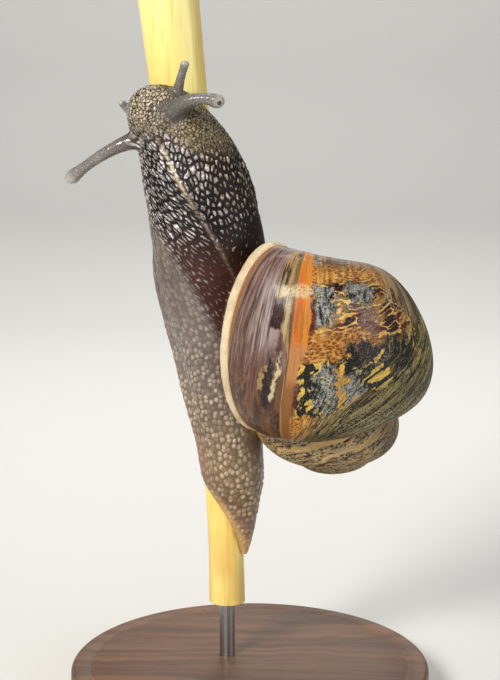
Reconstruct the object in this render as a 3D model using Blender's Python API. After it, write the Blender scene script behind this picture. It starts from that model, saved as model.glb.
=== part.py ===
"""Garden snail, a still life-size model that grips a cut plant stem on a display stand.

Lengths below are in millimetres and become metres in add_mesh. +Z is up, +X is
the side the coiled shell leans to, and -Y is the side the snail's back faces.
"""

from math import cos, exp, log, pi, radians, sin, tau

import bmesh
import bpy
from mathutils import Vector

MM = 0.001
GAP = 0.3  # clearance between touching pieces

# Display stand: a round base and one rod up into the stem's cut end
BASE_RADIUS = 28.0
BASE_HEIGHT = 5.0
BASE_BEVEL = 0.8
ROD_RADIUS = 1.2
ROD_SOCKET = 3.0  # depth of the blind hole in the base
ROD_IN_STEM = 4.0

# Cut stem: a stalk that leans to -X and thickens as it rises (height, x, y, radius)
STEM_SECTIONS = (
    (14.0, -3.6, 3.0, 2.9),
    (24.0, -3.8, 3.0, 2.8),
    (36.0, -4.5, 3.0, 2.9),
    (60.0, -7.0, 3.0, 3.5),
    (84.0, -9.6, 3.0, 4.1),
    (108.0, -12.2, 3.0, 4.7),
)
STEM_SIDES = 20
STEM_RINGS = 8

# Body sections from tail to head: height, centre x, centre y, half width,
# half thickness, and the compass angle that the back faces (0 is -Y, 90 is +X)
BODY_SECTIONS = (
    (22.0, -0.8, 1.6, 0.4, 0.4, 65),
    (24.8, -0.8, 1.6, 1.3, 1.1, 63),
    (29.6, -1.2, 1.5, 2.8, 2.5, 59),
    (34.4, -2.2, 1.5, 4.7, 4.2, 56),
    (40.7, -3.0, 1.4, 5.4, 4.7, 51),
    (47.0, -3.5, 1.0, 6.6, 5.4, 47),
    (53.2, -3.7, 0.1, 7.8, 6.0, 43),
    (59.4, -4.2, -0.8, 8.7, 6.6, 36),
    (65.5, -5.4, -1.3, 8.8, 6.9, 28),
    (71.5, -6.2, -1.6, 8.5, 7.0, 10),
    (76.1, -6.9, -1.7, 8.3, 6.9, -8),
    (80.5, -8.0, -1.7, 8.1, 6.7, -22),
    (85.0, -9.4, -1.6, 7.5, 6.2, -32),
    (88.0, -11.0, -1.5, 7.1, 6.0, -33),
    (90.9, -12.4, -1.5, 5.9, 5.2, -33),
    (92.9, -13.0, -1.7, 4.5, 4.1, -33),
    (94.2, -13.4, -1.9, 2.5, 2.3, -33),
    (94.6, -13.6, -1.9, 0.9, 0.8, -33),
)
SECTION_POINTS = 28
FOOT_FLANGE = 0.09  # how far the foot's edge stands out, as a share of the radius
FOOT_FLANGE_ANGLE = 126.0
FOOT_GROOVE = 0.05
FOOT_GROOVE_ANGLE = 104.0
BODY_PARTS = (
    ("tail", 22.0, 43.0, 8),
    ("trunk", 43.0, 66.0, 8),
    ("neck", 66.0, 83.0, 6),
    ("head", 83.0, 94.6, 9),
)

# Shell: an outline that turns round an axis while it grows and slides along it
WHORL_GROWTH = 1.77  # size ratio of one whorl to the one before
WHORL_COUNT = 4.3
LAST_WHORL_SLOWING = 0.155  # the last part of the body whorl grows more slowly
SLOWING_SPAN = 1.2
APERTURE_HALF_WIDTH = 7.6
APERTURE_HALF_HEIGHT = 14.3
APERTURE_OFFSET = 9.42  # from the coiling axis to the outline's centre
APERTURE_FALL = 24.99  # from the apex back along the axis to the outline's centre
APERTURE_TURN = -0.211
SPIRE_SWELL = 0.16  # how much wider than a true spiral the early whorls are
SPIRE_DOME = 0.447  # 0 is a straight cone of whorls, 1 a flat top
LIP_DROP = 2.014  # the last whorl bends away from the apex
LIP_DROP_RATE = 0.554
LINE_LEAN = 0.046  # growth lines slant back towards the apex
LOWER_SQUEEZE = 0.168  # the outline's half towards the apex is this much flatter
SQUEEZE_TURNS = (0.285, 2.125)  # behind the lip, where that flattening sets in
SPIRE_SHIFT = Vector((0.07, 2.56, 1.98))  # the early whorls sit a little aside
SHIFT_POWER = 2.27
SHELL_APEX = Vector((14.3, 3.4, 33.9))
COIL_AXIS = Vector((0.138, 0.224, -0.965)).normalized()  # towards the apex
LIP_SIDE = Vector((-0.842, -0.486, -0.233))
SHELL_END = -0.13  # growth angle where the shell stops behind its lip
RINGS_PER_WHORL = 23
OUTLINE_POINTS = 22
CORE_SIDES = 14
CORE_SHIFT_SPAN = 20.0  # along the axis, where the early whorls' shift has died away
CORE_SECTIONS = (  # distance from the apex along the axis, and radius
    (-3.5, 0.5),
    (-8.0, 2.2),
    (-16.0, 3.6),
    (-22.0, 4.3),
    (-27.0, 4.9),
    (-31.0, 4.9),
    (-33.0, 3.4),
    (-33.8, 1.2),
)
LIP_WIDTH = 0.75
LIP_THICKNESS = 0.5
LIP_FROM = -126.0  # degrees round the outline, 0 outwards, 90 towards the apex
LIP_TO = 91.0

# Feelers: base, middle and tip, with the radii that go with them
UPPER_TENTACLES = {
    "right": ((-12.6, -5.2, 88.4), (-9.5, -8.6, 94.6), (-3.6, -9.9, 92.1)),
    "left": ((-16.0, -2.4, 86.6), (-20.6, -3.0, 86.2), (-27.3, 0.1, 80.3)),
}
LOWER_TENTACLES = {
    "right": ((-10.9, -4.0, 92.4), (-10.4, -4.7, 95.0), (-9.3, -5.0, 97.9)),
    "left": ((-16.6, -1.2, 89.8), (-18.2, -2.2, 91.0), (-18.9, -2.4, 92.0)),
}
UPPER_RADII = (1.7, 0.74)
LOWER_RADII = (0.75, 0.54)
BULB_RADIUS = 0.98
EYE_RADIUS = 0.45
EYE_LOOK = {"right": (0.35, -0.9, -0.25), "left": (-0.75, -0.45, -0.5)}
TUBE_SIDES = 10

# The fleshy collar that fills the shell's mouth and joins it to the back
COLLAR_SCALE = 0.82
COLLAR_START = 0.0
COLLAR_DEPTH = 7.0
WHORL_CLEARANCE = 1.06  # size of the earlier whorl where its neighbours are cut back


def clear_scene():
    for item in list(bpy.data.objects):
        bpy.data.objects.remove(item, do_unlink=True)


def material(name, colour, roughness, metallic=0.0):
    finish = bpy.data.materials.new(name)
    finish.use_nodes = True
    shader = finish.node_tree.nodes["Principled BSDF"]
    shader.inputs["Base Color"].default_value = (*colour, 1.0)
    shader.inputs["Roughness"].default_value = roughness
    shader.inputs["Metallic"].default_value = metallic
    return finish


def add_mesh(name, points, faces, finish, sharp=40):
    mesh = bpy.data.meshes.new(name)
    mesh.from_pydata([Vector(p) * MM for p in points], [], faces)
    if finish:
        mesh.materials.append(finish)
    piece = bpy.data.objects.new(name, mesh)
    bpy.context.scene.collection.objects.link(piece)
    bm = bmesh.new()
    bm.from_mesh(mesh)
    bmesh.ops.recalc_face_normals(bm, faces=bm.faces)
    bmesh.ops.triangulate(bm, faces=[f for f in bm.faces if len(f.verts) > 4])
    bm.to_mesh(mesh)
    bm.free()
    mesh.shade_smooth()
    mesh.set_sharp_from_angle(angle=radians(sharp))
    return piece


def loft(name, rings, finish, dish_start=0.0, dish_end=0.0, sharp=40):
    """A closed skin over equal rings, each end closed by a fan to a centre point."""
    count = len(rings[0])
    points = [p for ring in rings for p in ring]
    faces = []
    for i in range(len(rings) - 1):
        for j in range(count):
            k = (j + 1) % count
            faces.append((i * count + j, i * count + k, (i + 1) * count + k, (i + 1) * count + j))
    for ring_index, neighbour, dish in ((0, 1, dish_start), (len(rings) - 1, -2, dish_end)):
        centre = sum(rings[ring_index], Vector()) / count
        inner = sum(rings[neighbour], Vector()) / count
        points.append(centre + (inner - centre) * dish)
        hub = len(points) - 1
        base = ring_index * count
        faces += [(base + j, base + (j + 1) % count, hub) for j in range(count)]
    return add_mesh(name, points, faces, finish, sharp)


def cut(piece, cutter):
    """Take the cutter out of the piece, and hide the cutter."""
    modifier = piece.modifiers.new("cut", "BOOLEAN")
    modifier.operation = "DIFFERENCE"
    modifier.solver = "EXACT"
    modifier.object = cutter
    hide_guide(cutter)


def hide_guide(guide):
    guide.hide_render = True
    guide.display_type = "WIRE"


def turned(name, profile, centre, sides, finish):
    """A solid of revolution about +Z from (radius, height) pairs."""
    rings = []
    for radius, height in profile:
        angles = [tau * j / sides for j in range(sides)]
        rings.append([centre + Vector((radius * cos(a), radius * sin(a), height)) for a in angles])
    return loft(name, rings, finish, sharp=30)


def between(rows, height):
    """The values of a table's rows at a height, on smooth curves through the rows."""
    last = len(rows) - 1
    i = next((n for n in range(last) if height <= rows[n + 1][0]), last - 1)
    before, low, high, after = (rows[max(0, min(last, i + n))] for n in (-1, 0, 1, 2))
    span = high[0] - low[0]
    t = min(1.0, max(0.0, (height - low[0]) / span))
    blend = t * t * (3 - 2 * t)
    values = []
    for column in range(1, len(low)):
        slope_low = (high[column] - before[column]) / (high[0] - before[0])
        slope_high = (after[column] - low[column]) / (after[0] - low[0])
        value = low[column] * (1 - blend) + high[column] * blend
        value += span * (t * (1 - t) ** 2 * slope_low - t * t * (1 - t) * slope_high)
        values.append(value)
    return values


def bump(angle, centre, width):
    return exp(-(((angle - centre) / width) ** 2))


def body_ring(height, grow=0.0):
    """One level section of the body: a rounded back, a groove and a foot's edge."""
    x, y, half_width, half_thickness, facing = between(BODY_SECTIONS, height)
    back = Vector((sin(radians(facing)), -cos(radians(facing)), 0))
    side = Vector((cos(radians(facing)), sin(radians(facing)), 0))
    ring = []
    for j in range(SECTION_POINTS):
        angle = tau * j / SECTION_POINTS
        off_back = abs(180.0 - abs(180.0 - angle * 180 / pi))
        swell = 1 + FOOT_FLANGE * bump(off_back, FOOT_FLANGE_ANGLE, 13)
        swell -= FOOT_GROOVE * bump(off_back, FOOT_GROOVE_ANGLE, 10)
        across = (half_width * swell + grow) * sin(angle)
        along = (half_thickness * swell + grow) * cos(angle)
        ring.append(Vector((x, y, height)) + side * across + back * along)
    return ring


def body_length(name, low, high, steps, finish, grow=0.0):
    heights = [low + (high - low) * i / steps for i in range(steps + 1)]
    return loft(name, [body_ring(z, grow) for z in heights], finish, sharp=60)


def stem_length(name, finish, grow=0.0, past=0.0):
    """The stem, grown sideways by grow and carried past each end by past."""
    low, high = STEM_SECTIONS[0][0] - past, STEM_SECTIONS[-1][0] + past
    rings = []
    for i in range(STEM_RINGS + 1):
        height = low + (high - low) * i / STEM_RINGS
        x, y, radius = between(STEM_SECTIONS, height)
        angles = [tau * j / STEM_SIDES for j in range(STEM_SIDES)]
        reach = radius + grow
        rings.append([Vector((x + reach * cos(a), y + reach * sin(a), height)) for a in angles])
    return loft(name, rings, finish)


def coil_frame():
    outward = (LIP_SIDE - COIL_AXIS * LIP_SIDE.dot(COIL_AXIS)).normalized()
    return outward, COIL_AXIS.cross(outward)


def coil_scale(turn):
    rate = log(WHORL_GROWTH) / tau
    return exp(rate * turn - LAST_WHORL_SLOWING * (exp(turn / SLOWING_SPAN) - 1))


def coil_point(turn, around, size=1.0):
    """A shell point: turn is the growth angle, 0 at the lip, around goes round the outline."""
    outward, onward = coil_frame()
    x = APERTURE_HALF_WIDTH * size * cos(around)
    start, end = SQUEEZE_TURNS
    set_in = min(1.0, max(0.0, (-turn - start) / (end - start)))
    flatter = LOWER_SQUEEZE * set_in * set_in * (3 - 2 * set_in) * max(0.0, sin(around))
    z = APERTURE_HALF_HEIGHT * size * sin(around) * (1 - flatter)
    reach = x * cos(APERTURE_TURN) - z * sin(APERTURE_TURN)
    rise = x * sin(APERTURE_TURN) + z * cos(APERTURE_TURN)
    angle = turn + LINE_LEAN * sin(around)
    scale = coil_scale(angle)
    radius = scale * (APERTURE_OFFSET + reach) * (1 + SPIRE_SWELL * (1 - scale))
    fall = APERTURE_FALL * scale * (1 - SPIRE_DOME + SPIRE_DOME * scale)
    along = scale * rise - fall - LIP_DROP * exp(LIP_DROP_RATE * angle)
    aside = SPIRE_SHIFT * max(0.0, 1 - scale) ** SHIFT_POWER
    place = SHELL_APEX + (outward * cos(angle) + onward * sin(angle)) * radius + COIL_AXIS * along
    return place + aside


def coil_ring(turn, size=1.0, count=OUTLINE_POINTS):
    return [coil_point(turn, tau * j / count, size) for j in range(count)]


def make_shell(finish):
    """The coiled tube and a core on its axis, joined so that one closed body is left."""
    steps = int(WHORL_COUNT * RINGS_PER_WHORL)
    turns = [SHELL_END - tau * WHORL_COUNT * (1 - i / steps) for i in range(steps + 1)]
    shell = loft("shell", [coil_ring(t) for t in turns], finish, dish_end=1.2, sharp=50)
    core = make_core("shell_core")
    join = shell.modifiers.new("join", "BOOLEAN")
    join.operation = "UNION"
    join.solver = "EXACT"
    join.use_self = True
    join.object = core
    hide_guide(core)
    return shell


def make_core(name, grow=0.0):
    """A spindle on the coiling axis that fills the hollow between the whorls."""
    outward, onward = coil_frame()
    rings = []
    for along, radius in CORE_SECTIONS:
        aside = SPIRE_SHIFT * max(0.0, 1 + along / CORE_SHIFT_SPAN) ** SHIFT_POWER
        centre = SHELL_APEX + COIL_AXIS * along + aside
        angles = [tau * j / CORE_SIDES for j in range(CORE_SIDES)]
        reach = radius + grow
        rings.append([centre + (outward * cos(a) + onward * sin(a)) * reach for a in angles])
    return loft(name, rings, None)


def earlier_whorl():
    """The whorl before the mouth, a little larger, to cut clearance from what meets it."""
    steps = int(0.9 * RINGS_PER_WHORL)
    turns = [tau * (-1.45 + 0.9 * i / steps) for i in range(steps + 1)]
    return loft("whorl_guide", [coil_ring(t, WHORL_CLEARANCE) for t in turns], None)


def make_lip(finish, guides):
    """The thick rim round the mouth, an open loop with rounded ends."""
    steps = 30
    rings = []
    for i in range(steps + 1):
        share = i / steps
        around = radians(LIP_FROM + (LIP_TO - LIP_FROM) * share)
        taper = 0.45 + 0.55 * min(1.0, 6 * share, 6 * (1 - share))
        centre = coil_point(0.0, around, 0.985)
        outward = (coil_point(0.0, around, 1.05) - centre).normalized()
        onward = (coil_point(0.02, around, 0.985) - coil_point(-0.02, around, 0.985)).normalized()
        ring = []
        for j in range(8):
            angle = tau * j / 8
            offset = outward * (LIP_THICKNESS * cos(angle)) + onward * (LIP_WIDTH * sin(angle))
            ring.append(centre + offset * taper)
        rings.append(ring)
    lip = loft("shell_lip", rings, finish, sharp=60)
    for guide in guides:
        cut(lip, guide)


def make_collar(finish, guides):
    onward = coil_frame()[1]
    mouth = coil_ring(COLLAR_START, COLLAR_SCALE)
    middle = sum(mouth, Vector()) / len(mouth)
    deep = [middle + (p - middle) * 0.62 + onward * COLLAR_DEPTH for p in mouth]
    collar = loft("mantle_collar", [mouth, deep], finish)
    for guide in guides:
        cut(collar, guide)


def bezier(base, middle, tip, share):
    base, middle, tip = Vector(base), Vector(middle), Vector(tip)
    return base.lerp(middle, share).lerp(middle.lerp(tip, share), share)


def feeler(name, route, radii, finish, bulb=0.0, steps=9):
    """A tapering stalk along a curve, with a round bulb at its tip when asked."""
    rings = []
    length = (Vector(route[2]) - Vector(route[0])).length
    for i in range(steps + 1):
        share = 1 - (1 - i / steps) ** 1.4
        centre = bezier(*route, share)
        ahead = (bezier(*route, share + 0.01) - bezier(*route, share - 0.01)).normalized()
        radius = radii[1] + (radii[0] - radii[1]) * (1 - share) ** 2
        to_tip = (1 - share) * length
        radius += max(0.0, bulb - radii[1]) * bump(to_tip, BULB_RADIUS, BULB_RADIUS)
        if i == steps:
            radius *= 0.75
        side = ahead.orthogonal().normalized()
        other = ahead.cross(side)
        angles = [tau * j / TUBE_SIDES for j in range(TUBE_SIDES)]
        rings.append([centre + (side * cos(a) + other * sin(a)) * radius for a in angles])
    return loft(name, rings, finish, dish_end=-0.35, sharp=70)


def ball(name, centre, radius, finish, rows=6, sides=10):
    profile = [(radius * sin(pi * i / rows), -radius * cos(pi * i / rows)) for i in range(1, rows)]
    rings = []
    for ring_radius, height in profile:
        angles = [tau * j / sides for j in range(sides)]
        rings.append([centre + Vector((ring_radius * cos(a), ring_radius * sin(a), height)) for a in angles])
    return loft(name, rings, finish, sharp=80)


def make_feelers(flesh, eye_finish, body_guide):
    for side, route in UPPER_TENTACLES.items():
        stalk = feeler(f"upper_tentacle_{side}", route, UPPER_RADII, flesh, BULB_RADIUS)
        cut(stalk, body_guide)
        ahead = (bezier(*route, 1.0) - bezier(*route, 0.98)).normalized()
        look = Vector(EYE_LOOK[side]).normalized()
        eye_centre = Vector(route[2]) + (look - ahead) * BULB_RADIUS * 0.75
        ball(f"eye_{side}", eye_centre, EYE_RADIUS, eye_finish)
        cut(stalk, ball(f"eye_socket_{side}", eye_centre, EYE_RADIUS + GAP, None, 8, 14))
    for side, route in LOWER_TENTACLES.items():
        cut(feeler(f"lower_tentacle_{side}", route, LOWER_RADII, flesh, steps=5), body_guide)


def make_body(flesh, whorl_guide):
    stem_guide = stem_length("stem_guide", None, GAP, 2.0)
    for name, low, high, steps in BODY_PARTS:
        low_cut = low + (GAP / 2 if name != "tail" else 0)
        high_cut = high - (GAP / 2 if name != "head" else 0)
        piece = body_length(name, low_cut, high_cut, steps, flesh)
        cut(piece, stem_guide)
        if name in ("tail", "trunk"):
            cut(piece, whorl_guide)


def make_stem(finish):
    stem = stem_length("perch_stem", finish)
    foot, x, y = STEM_SECTIONS[0][:3]
    hole = rod("rod_hole", None, Vector((x, y, foot - 1)), ROD_RADIUS + GAP, ROD_IN_STEM + GAP + 1)
    cut(stem, hole)


def rod(name, finish, foot, radius, length):
    return turned(name, ((radius, 0), (radius, length)), foot, 16, finish)


def make_stand(base_finish, rod_finish):
    edge = BASE_RADIUS
    profile = (
        (edge - BASE_BEVEL * 0.5, 0),
        (edge, BASE_BEVEL * 0.5),
        (edge, BASE_HEIGHT - BASE_BEVEL),
        (edge - BASE_BEVEL * 0.3, BASE_HEIGHT - BASE_BEVEL * 0.3),
        (edge - BASE_BEVEL, BASE_HEIGHT),
    )
    base = turned("stand_base", profile, Vector((0, 0, 0)), 48, base_finish)
    stem_foot, x, y = STEM_SECTIONS[0][:3]
    foot = Vector((x, y, BASE_HEIGHT - ROD_SOCKET))
    cut(base, rod("rod_socket", None, foot, ROD_RADIUS + GAP, ROD_SOCKET + 1))
    length = stem_foot + ROD_IN_STEM - foot.z - GAP
    rod("stand_rod", rod_finish, foot + Vector((0, 0, GAP)), ROD_RADIUS, length)


def main():
    clear_scene()
    flesh = material("snail_flesh", (0.17, 0.12, 0.09), 0.35)
    shell_finish = material("shell_brown", (0.36, 0.21, 0.09), 0.4)
    lip_finish = material("lip_cream", (0.72, 0.58, 0.40), 0.4)
    eye_finish = material("eye_black", (0.01, 0.01, 0.012), 0.15)
    stem_finish = material("stem_straw", (0.85, 0.66, 0.26), 0.6)
    base_finish = material("stand_wood", (0.10, 0.07, 0.05), 0.4)
    rod_finish = material("stand_steel", (0.6, 0.6, 0.6), 0.3, 1.0)

    make_stand(base_finish, rod_finish)
    make_stem(stem_finish)
    make_shell(shell_finish)
    whorl_guide = earlier_whorl()
    core_guide = make_core("core_guide", GAP)
    make_lip(lip_finish, (whorl_guide, core_guide))
    make_body(flesh, whorl_guide)
    heights = [BODY_SECTIONS[0][0] - GAP + 0.75 * i for i in range(97)]
    rings = [body_ring(min(z, BODY_SECTIONS[-1][0]), GAP) for z in heights]
    for ring, z in zip(rings, heights):
        for point in ring:
            point.z = z
    body_guide = loft("body_guide", rings, None)
    hide_guide(body_guide)
    make_collar(flesh, (body_guide, whorl_guide, core_guide))
    make_feelers(flesh, eye_finish, body_guide)


main()
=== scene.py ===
import math
from types import SimpleNamespace

import bmesh
import bpy
import numpy as np
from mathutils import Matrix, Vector


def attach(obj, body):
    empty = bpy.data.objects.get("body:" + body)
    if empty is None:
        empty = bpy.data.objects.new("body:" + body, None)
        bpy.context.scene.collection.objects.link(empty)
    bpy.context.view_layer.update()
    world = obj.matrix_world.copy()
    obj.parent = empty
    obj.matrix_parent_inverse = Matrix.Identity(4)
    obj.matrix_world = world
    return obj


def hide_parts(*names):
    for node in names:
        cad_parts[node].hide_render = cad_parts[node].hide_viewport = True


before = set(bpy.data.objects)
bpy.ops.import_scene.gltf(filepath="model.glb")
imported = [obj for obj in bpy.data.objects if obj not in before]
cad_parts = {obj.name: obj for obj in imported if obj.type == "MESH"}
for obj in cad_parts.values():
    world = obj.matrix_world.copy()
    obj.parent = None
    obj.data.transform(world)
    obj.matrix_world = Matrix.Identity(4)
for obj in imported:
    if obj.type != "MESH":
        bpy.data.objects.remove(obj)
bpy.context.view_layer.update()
tau = math.tau
mm = 0.001


# node helpers: a wire is a socket that Python operators can work on

class Wire:
    def __init__(self, bench, socket):
        self.bench = bench
        self.socket = socket

    def __neg__(self):
        return self * -1.0

    def rise(self, low, high):  # 0 below low, 1 above high
        settings = {"interpolation_type": "SMOOTHSTEP"}
        inputs = {"Value": self, "From Min": low, "From Max": high, "To Min": 0.0, "To Max": 1.0}
        return self.bench.node("ShaderNodeMapRange", settings, inputs).out("Result")

    def within(self, low, high, soft):  # 1 between low and high, with soft edges
        return self.rise(low - soft, low + soft) * (1 - self.rise(high - soft, high + soft))


def wireOperator(operation, turned):  # turned: the wire stands on the right-hand side
    def apply(wire, *others):
        values = (*others, wire) if turned else (wire, *others)
        return wire.bench.math(operation, *values)

    return apply


for name, operation in {
    "__add__": "ADD", "__sub__": "SUBTRACT", "__mul__": "MULTIPLY", "__truediv__": "DIVIDE",
    "__radd__": "ADD", "__rsub__": "SUBTRACT", "sin": "SINE", "cos": "COSINE", "exp": "EXPONENT",
    "abs": "ABSOLUTE", "power": "POWER", "least": "MINIMUM", "most": "MAXIMUM",
}.items():
    setattr(Wire, name, wireOperator(operation, name.startswith("__r")))


class Made:  # a node that was added, with its outputs as wires
    def __init__(self, bench, node):
        self.bench = bench
        self.node = node

    def out(self, name=0):
        return Wire(self.bench, self.node.outputs[name])


class Bench:  # one node tree being built
    def __init__(self, tree):
        self.tree = tree

    def node(self, kind, settings=None, inputs=None):
        node = self.tree.nodes.new(kind)
        for name, value in (settings or {}).items():
            setattr(node, name, value)
        for name, value in (inputs or {}).items():
            socket = node.inputs[name]
            if isinstance(value, Wire):
                self.tree.links.new(value.socket, socket)
            else:
                socket.default_value = value
        return Made(self, node)

    def math(self, operation, *values):
        inputs = dict(enumerate(values))
        return self.node("ShaderNodeMath", {"operation": operation}, inputs).out()

    def vector(self, operation, *values, scale=None):
        inputs = dict(enumerate(values))
        if scale is not None:
            inputs["Scale"] = scale
        return self.node("ShaderNodeVectorMath", {"operation": operation}, inputs).out()

    def point(self, x, y, z=0.0):
        return self.node("ShaderNodeCombineXYZ", None, {0: x, 1: y, 2: z}).out()

    def parts(self, vector):
        made = self.node("ShaderNodeSeparateXYZ", None, {0: vector})
        return made.out(0), made.out(1), made.out(2)

    def mix(self, share, first, second, kind="MIX"):  # colours
        settings = {"data_type": "RGBA", "blend_type": kind, "clamp_factor": True}
        return self.node("ShaderNodeMix", settings, {0: share, 6: first, 7: second}).out(2)

    def noise(self, vector, scale, detail=3.0, roughness=0.5):
        inputs = {"Vector": vector, "Scale": scale, "Detail": detail, "Roughness": roughness}
        return self.node("ShaderNodeTexNoise", {"noise_dimensions": "3D"}, inputs).out(0)

    def cells(self, vector, scale, feature="F1", randomness=1.0, flat=False):
        settings = {"voronoi_dimensions": "2D" if flat else "3D", "feature": feature}
        inputs = {"Vector": vector, "Scale": scale, "Randomness": randomness}
        return self.node("ShaderNodeTexVoronoi", settings, inputs)


def srgb(red, green, blue):  # 0-255 screen values to a linear colour
    values = []
    for value in (red, green, blue):
        share = value / 255
        values.append(share / 12.92 if share <= 0.04045 else ((share + 0.055) / 1.055) ** 2.4)
    return (*values, 1.0)


def tonesOf(table):
    return {name: srgb(*values) for name, values in table.items()}


def newMaterial(name, **constants):
    finish = bpy.data.materials.new(name)
    finish.use_nodes = True
    bench = Bench(finish.node_tree)
    shader = finish.node_tree.nodes["Principled BSDF"]
    for socket, value in constants.items():
        shader.inputs[socket.replace("_", " ")].default_value = value
    return finish, bench, shader


def feed(bench, shader, **wires):
    for socket, wire in wires.items():
        bench.tree.links.new(wire.socket, shader.inputs[socket.replace("_", " ")])


def painter(bench, tones):  # lays coats on a ground: how much of each shows, and its tone or name
    def paint(ground, *coats):
        for share, coat in coats:
            ground = bench.mix(share, tones.get(ground, ground), tones.get(coat, coat))
        return ground

    return paint


def bumpOf(bench, height, distance):
    inputs = {"Height": height, "Distance": distance, "Strength": 1.0}
    return bench.node("ShaderNodeBump", None, inputs).out("Normal")


def attribute(bench, name, output="Fac"):
    settings = {"attribute_name": name, "attribute_type": "GEOMETRY"}
    return bench.node("ShaderNodeAttribute", settings).out(output)


def objectPoint(bench):
    return bench.node("ShaderNodeTexCoord").out("Object")


def addObject(name, data):
    made = bpy.data.objects.new(name, data)
    bpy.context.scene.collection.objects.link(made)
    return made


# geometry node helpers

socketKinds = {float: "Float", int: "Int", tuple: "Vector"}


def newTree(name, values):  # with a named input for each value
    tree = bpy.data.node_groups.new(name, "GeometryNodeTree")
    tree.interface.new_socket("Geometry", in_out="INPUT", socket_type="NodeSocketGeometry")
    for title, value in values.items():
        kind = "NodeSocket" + socketKinds.get(type(value), "Material")
        tree.interface.new_socket(title, in_out="INPUT", socket_type=kind).default_value = value
    tree.interface.new_socket("Geometry", in_out="OUTPUT", socket_type="NodeSocketGeometry")
    bench = Bench(tree)
    given = bench.node("NodeGroupInput")
    return bench, given


def endTree(bench, geometry, material):
    solid = bench.node("GeometryNodeRealizeInstances", None, {0: geometry}).out()
    done = bench.node("GeometryNodeSetMaterial", None, {"Geometry": solid, "Material": material})
    bench.node("NodeGroupOutput", None, {0: done.out()})


def titleOf(name):  # halfWidth becomes Half Width
    return "".join(" " + letter if letter.isupper() else letter for letter in name).title()


def grow(name, tree, values, start=None):
    mesh = start or bpy.data.meshes.new(name + "Start")
    holder = addObject(name + "Holder", mesh)
    modifier = holder.modifiers.new("grow", "NODES")
    modifier.node_group = tree
    sockets = {s.name: s.identifier for s in tree.interface.items_tree if s.in_out == "INPUT"}
    for title, value in values.items():
        modifier[sockets[title]] = value
    return plainCopy(name, holder)


def plainCopy(name, holder):  # the evaluated object as a plain mesh, modifiers gone
    graph = bpy.context.evaluated_depsgraph_get()
    graph.update()
    mesh = bpy.data.meshes.new_from_object(holder.evaluated_get(graph))
    mesh.name = name
    piece = addObject(name, mesh)
    bpy.data.objects.remove(holder)
    return piece


def meshObject(name, points, faces, materials=()):
    mesh = bpy.data.meshes.new(name)
    mesh.from_pydata([tuple(p) for p in points], [], [tuple(f) for f in faces])
    for finish in materials:
        mesh.materials.append(finish)
    return addObject(name, mesh)


def ringFaces(rows, count):  # quads between the rings, then a fan on the hub at each end
    turns = [(j, (j + 1) % count) for j in range(count)]
    last, hub = (rows - 1) * count, rows * count
    faces = [(i + j, i + k, i + count + k, i + count + j) for i in range(0, last, count) for j, k in turns]
    faces += [(k, j, hub) for j, k in turns]
    return faces + [(last + j, last + k, hub + 1) for j, k in turns]


def loft(name, rings, materials=()):  # rings of equal length, ends closed on a hub
    points = [p for ring in rings for p in ring]
    points += [np.mean(rings[0], axis=0), np.mean(rings[-1], axis=0)]
    faces = ringFaces(len(rings), len(rings[0]))
    piece = meshObject(name, [Vector(p) * mm for p in points], faces, materials)
    turnOut(piece)
    return piece


def turnOut(piece):
    bm = bmesh.new()
    bm.from_mesh(piece.data)
    bmesh.ops.recalc_face_normals(bm, faces=bm.faces)
    bm.to_mesh(piece.data)
    bm.free()


def anglesAround(count):
    return np.arange(count) * tau / count


def circle(angles, first, second):  # unit points around, in the plane of two directions
    return np.cos(angles)[:, None] * first + np.sin(angles)[:, None] * second


def crossAxes(ahead):  # two directions square to the way ahead
    sideways = np.cross(ahead, (0.0, 0.0, 1.0))
    sideways /= np.linalg.norm(sideways)
    return sideways, np.cross(ahead, sideways)


def between(rows, at):  # smooth curves through a table's rows, read at one height
    rows = np.asarray(rows, float)
    i = int(np.clip(np.searchsorted(rows[:, 0], at) - 1, 0, len(rows) - 2))
    low, high = rows[i], rows[i + 1]
    before, after = rows[max(0, i - 1)], rows[min(len(rows) - 1, i + 2)]
    span = high[0] - low[0]
    t = float(np.clip((at - low[0]) / span, 0, 1))
    slopeLow = (high - before) / (high[0] - before[0])
    slopeHigh = (after - low) / (after[0] - low[0])
    blend = t * t * (3 - 2 * t)
    value = low * (1 - blend) + high * blend
    return (value + span * (t * (1 - t) ** 2 * slopeLow - t * t * (1 - t) * slopeHigh))[1:]


def bump(value, centre, width):
    return np.exp(-(((value - centre) / width) ** 2))


def smooth(value, low, high):
    t = np.clip((value - low) / (high - low), 0, 1)
    return t * t * (3 - 2 * t)


# camera, light and floor

stage = {
    "cameraAt": (0.0, -243.05, 99.15),  # mm
    "pitch": 10.0,
    "lens": 86.03,
    "nearest": 0.01,  # m, nothing closer is drawn
    "aim": (0, 0, 55),  # mm, where most lamps point
    "floorTone": srgb(226, 224, 219),
    "worldTone": (0.80, 0.84, 0.90, 1.0),
    "worldStrength": 0.24,
    "floorHalf": 1.6,  # m, half the paper's width
    "floorSweep": ((-1.6, 0), (0.35, 0), (0.55, 0.02), (0.68, 0.09), (0.74, 0.2), (0.76, 1.2)),
}
lamps = {  # place in mm, size in mm, watts, colour
    "keyLamp": ((-250, -330, 300), 170, 2.3, (1.0, 0.97, 0.92)),
    "fillLamp": ((330, -220, 120), 300, 0.45, (0.93, 0.96, 1.0)),
    "backLamp": ((60, 330, 300), 240, 0.22, (1.0, 0.98, 0.95)),
    "wallLamp": ((0, 120, 420), 300, 1.5, (1.0, 1.0, 1.0)),
}
lampAims = {"wallLamp": (0, 700, 60)}


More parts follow.
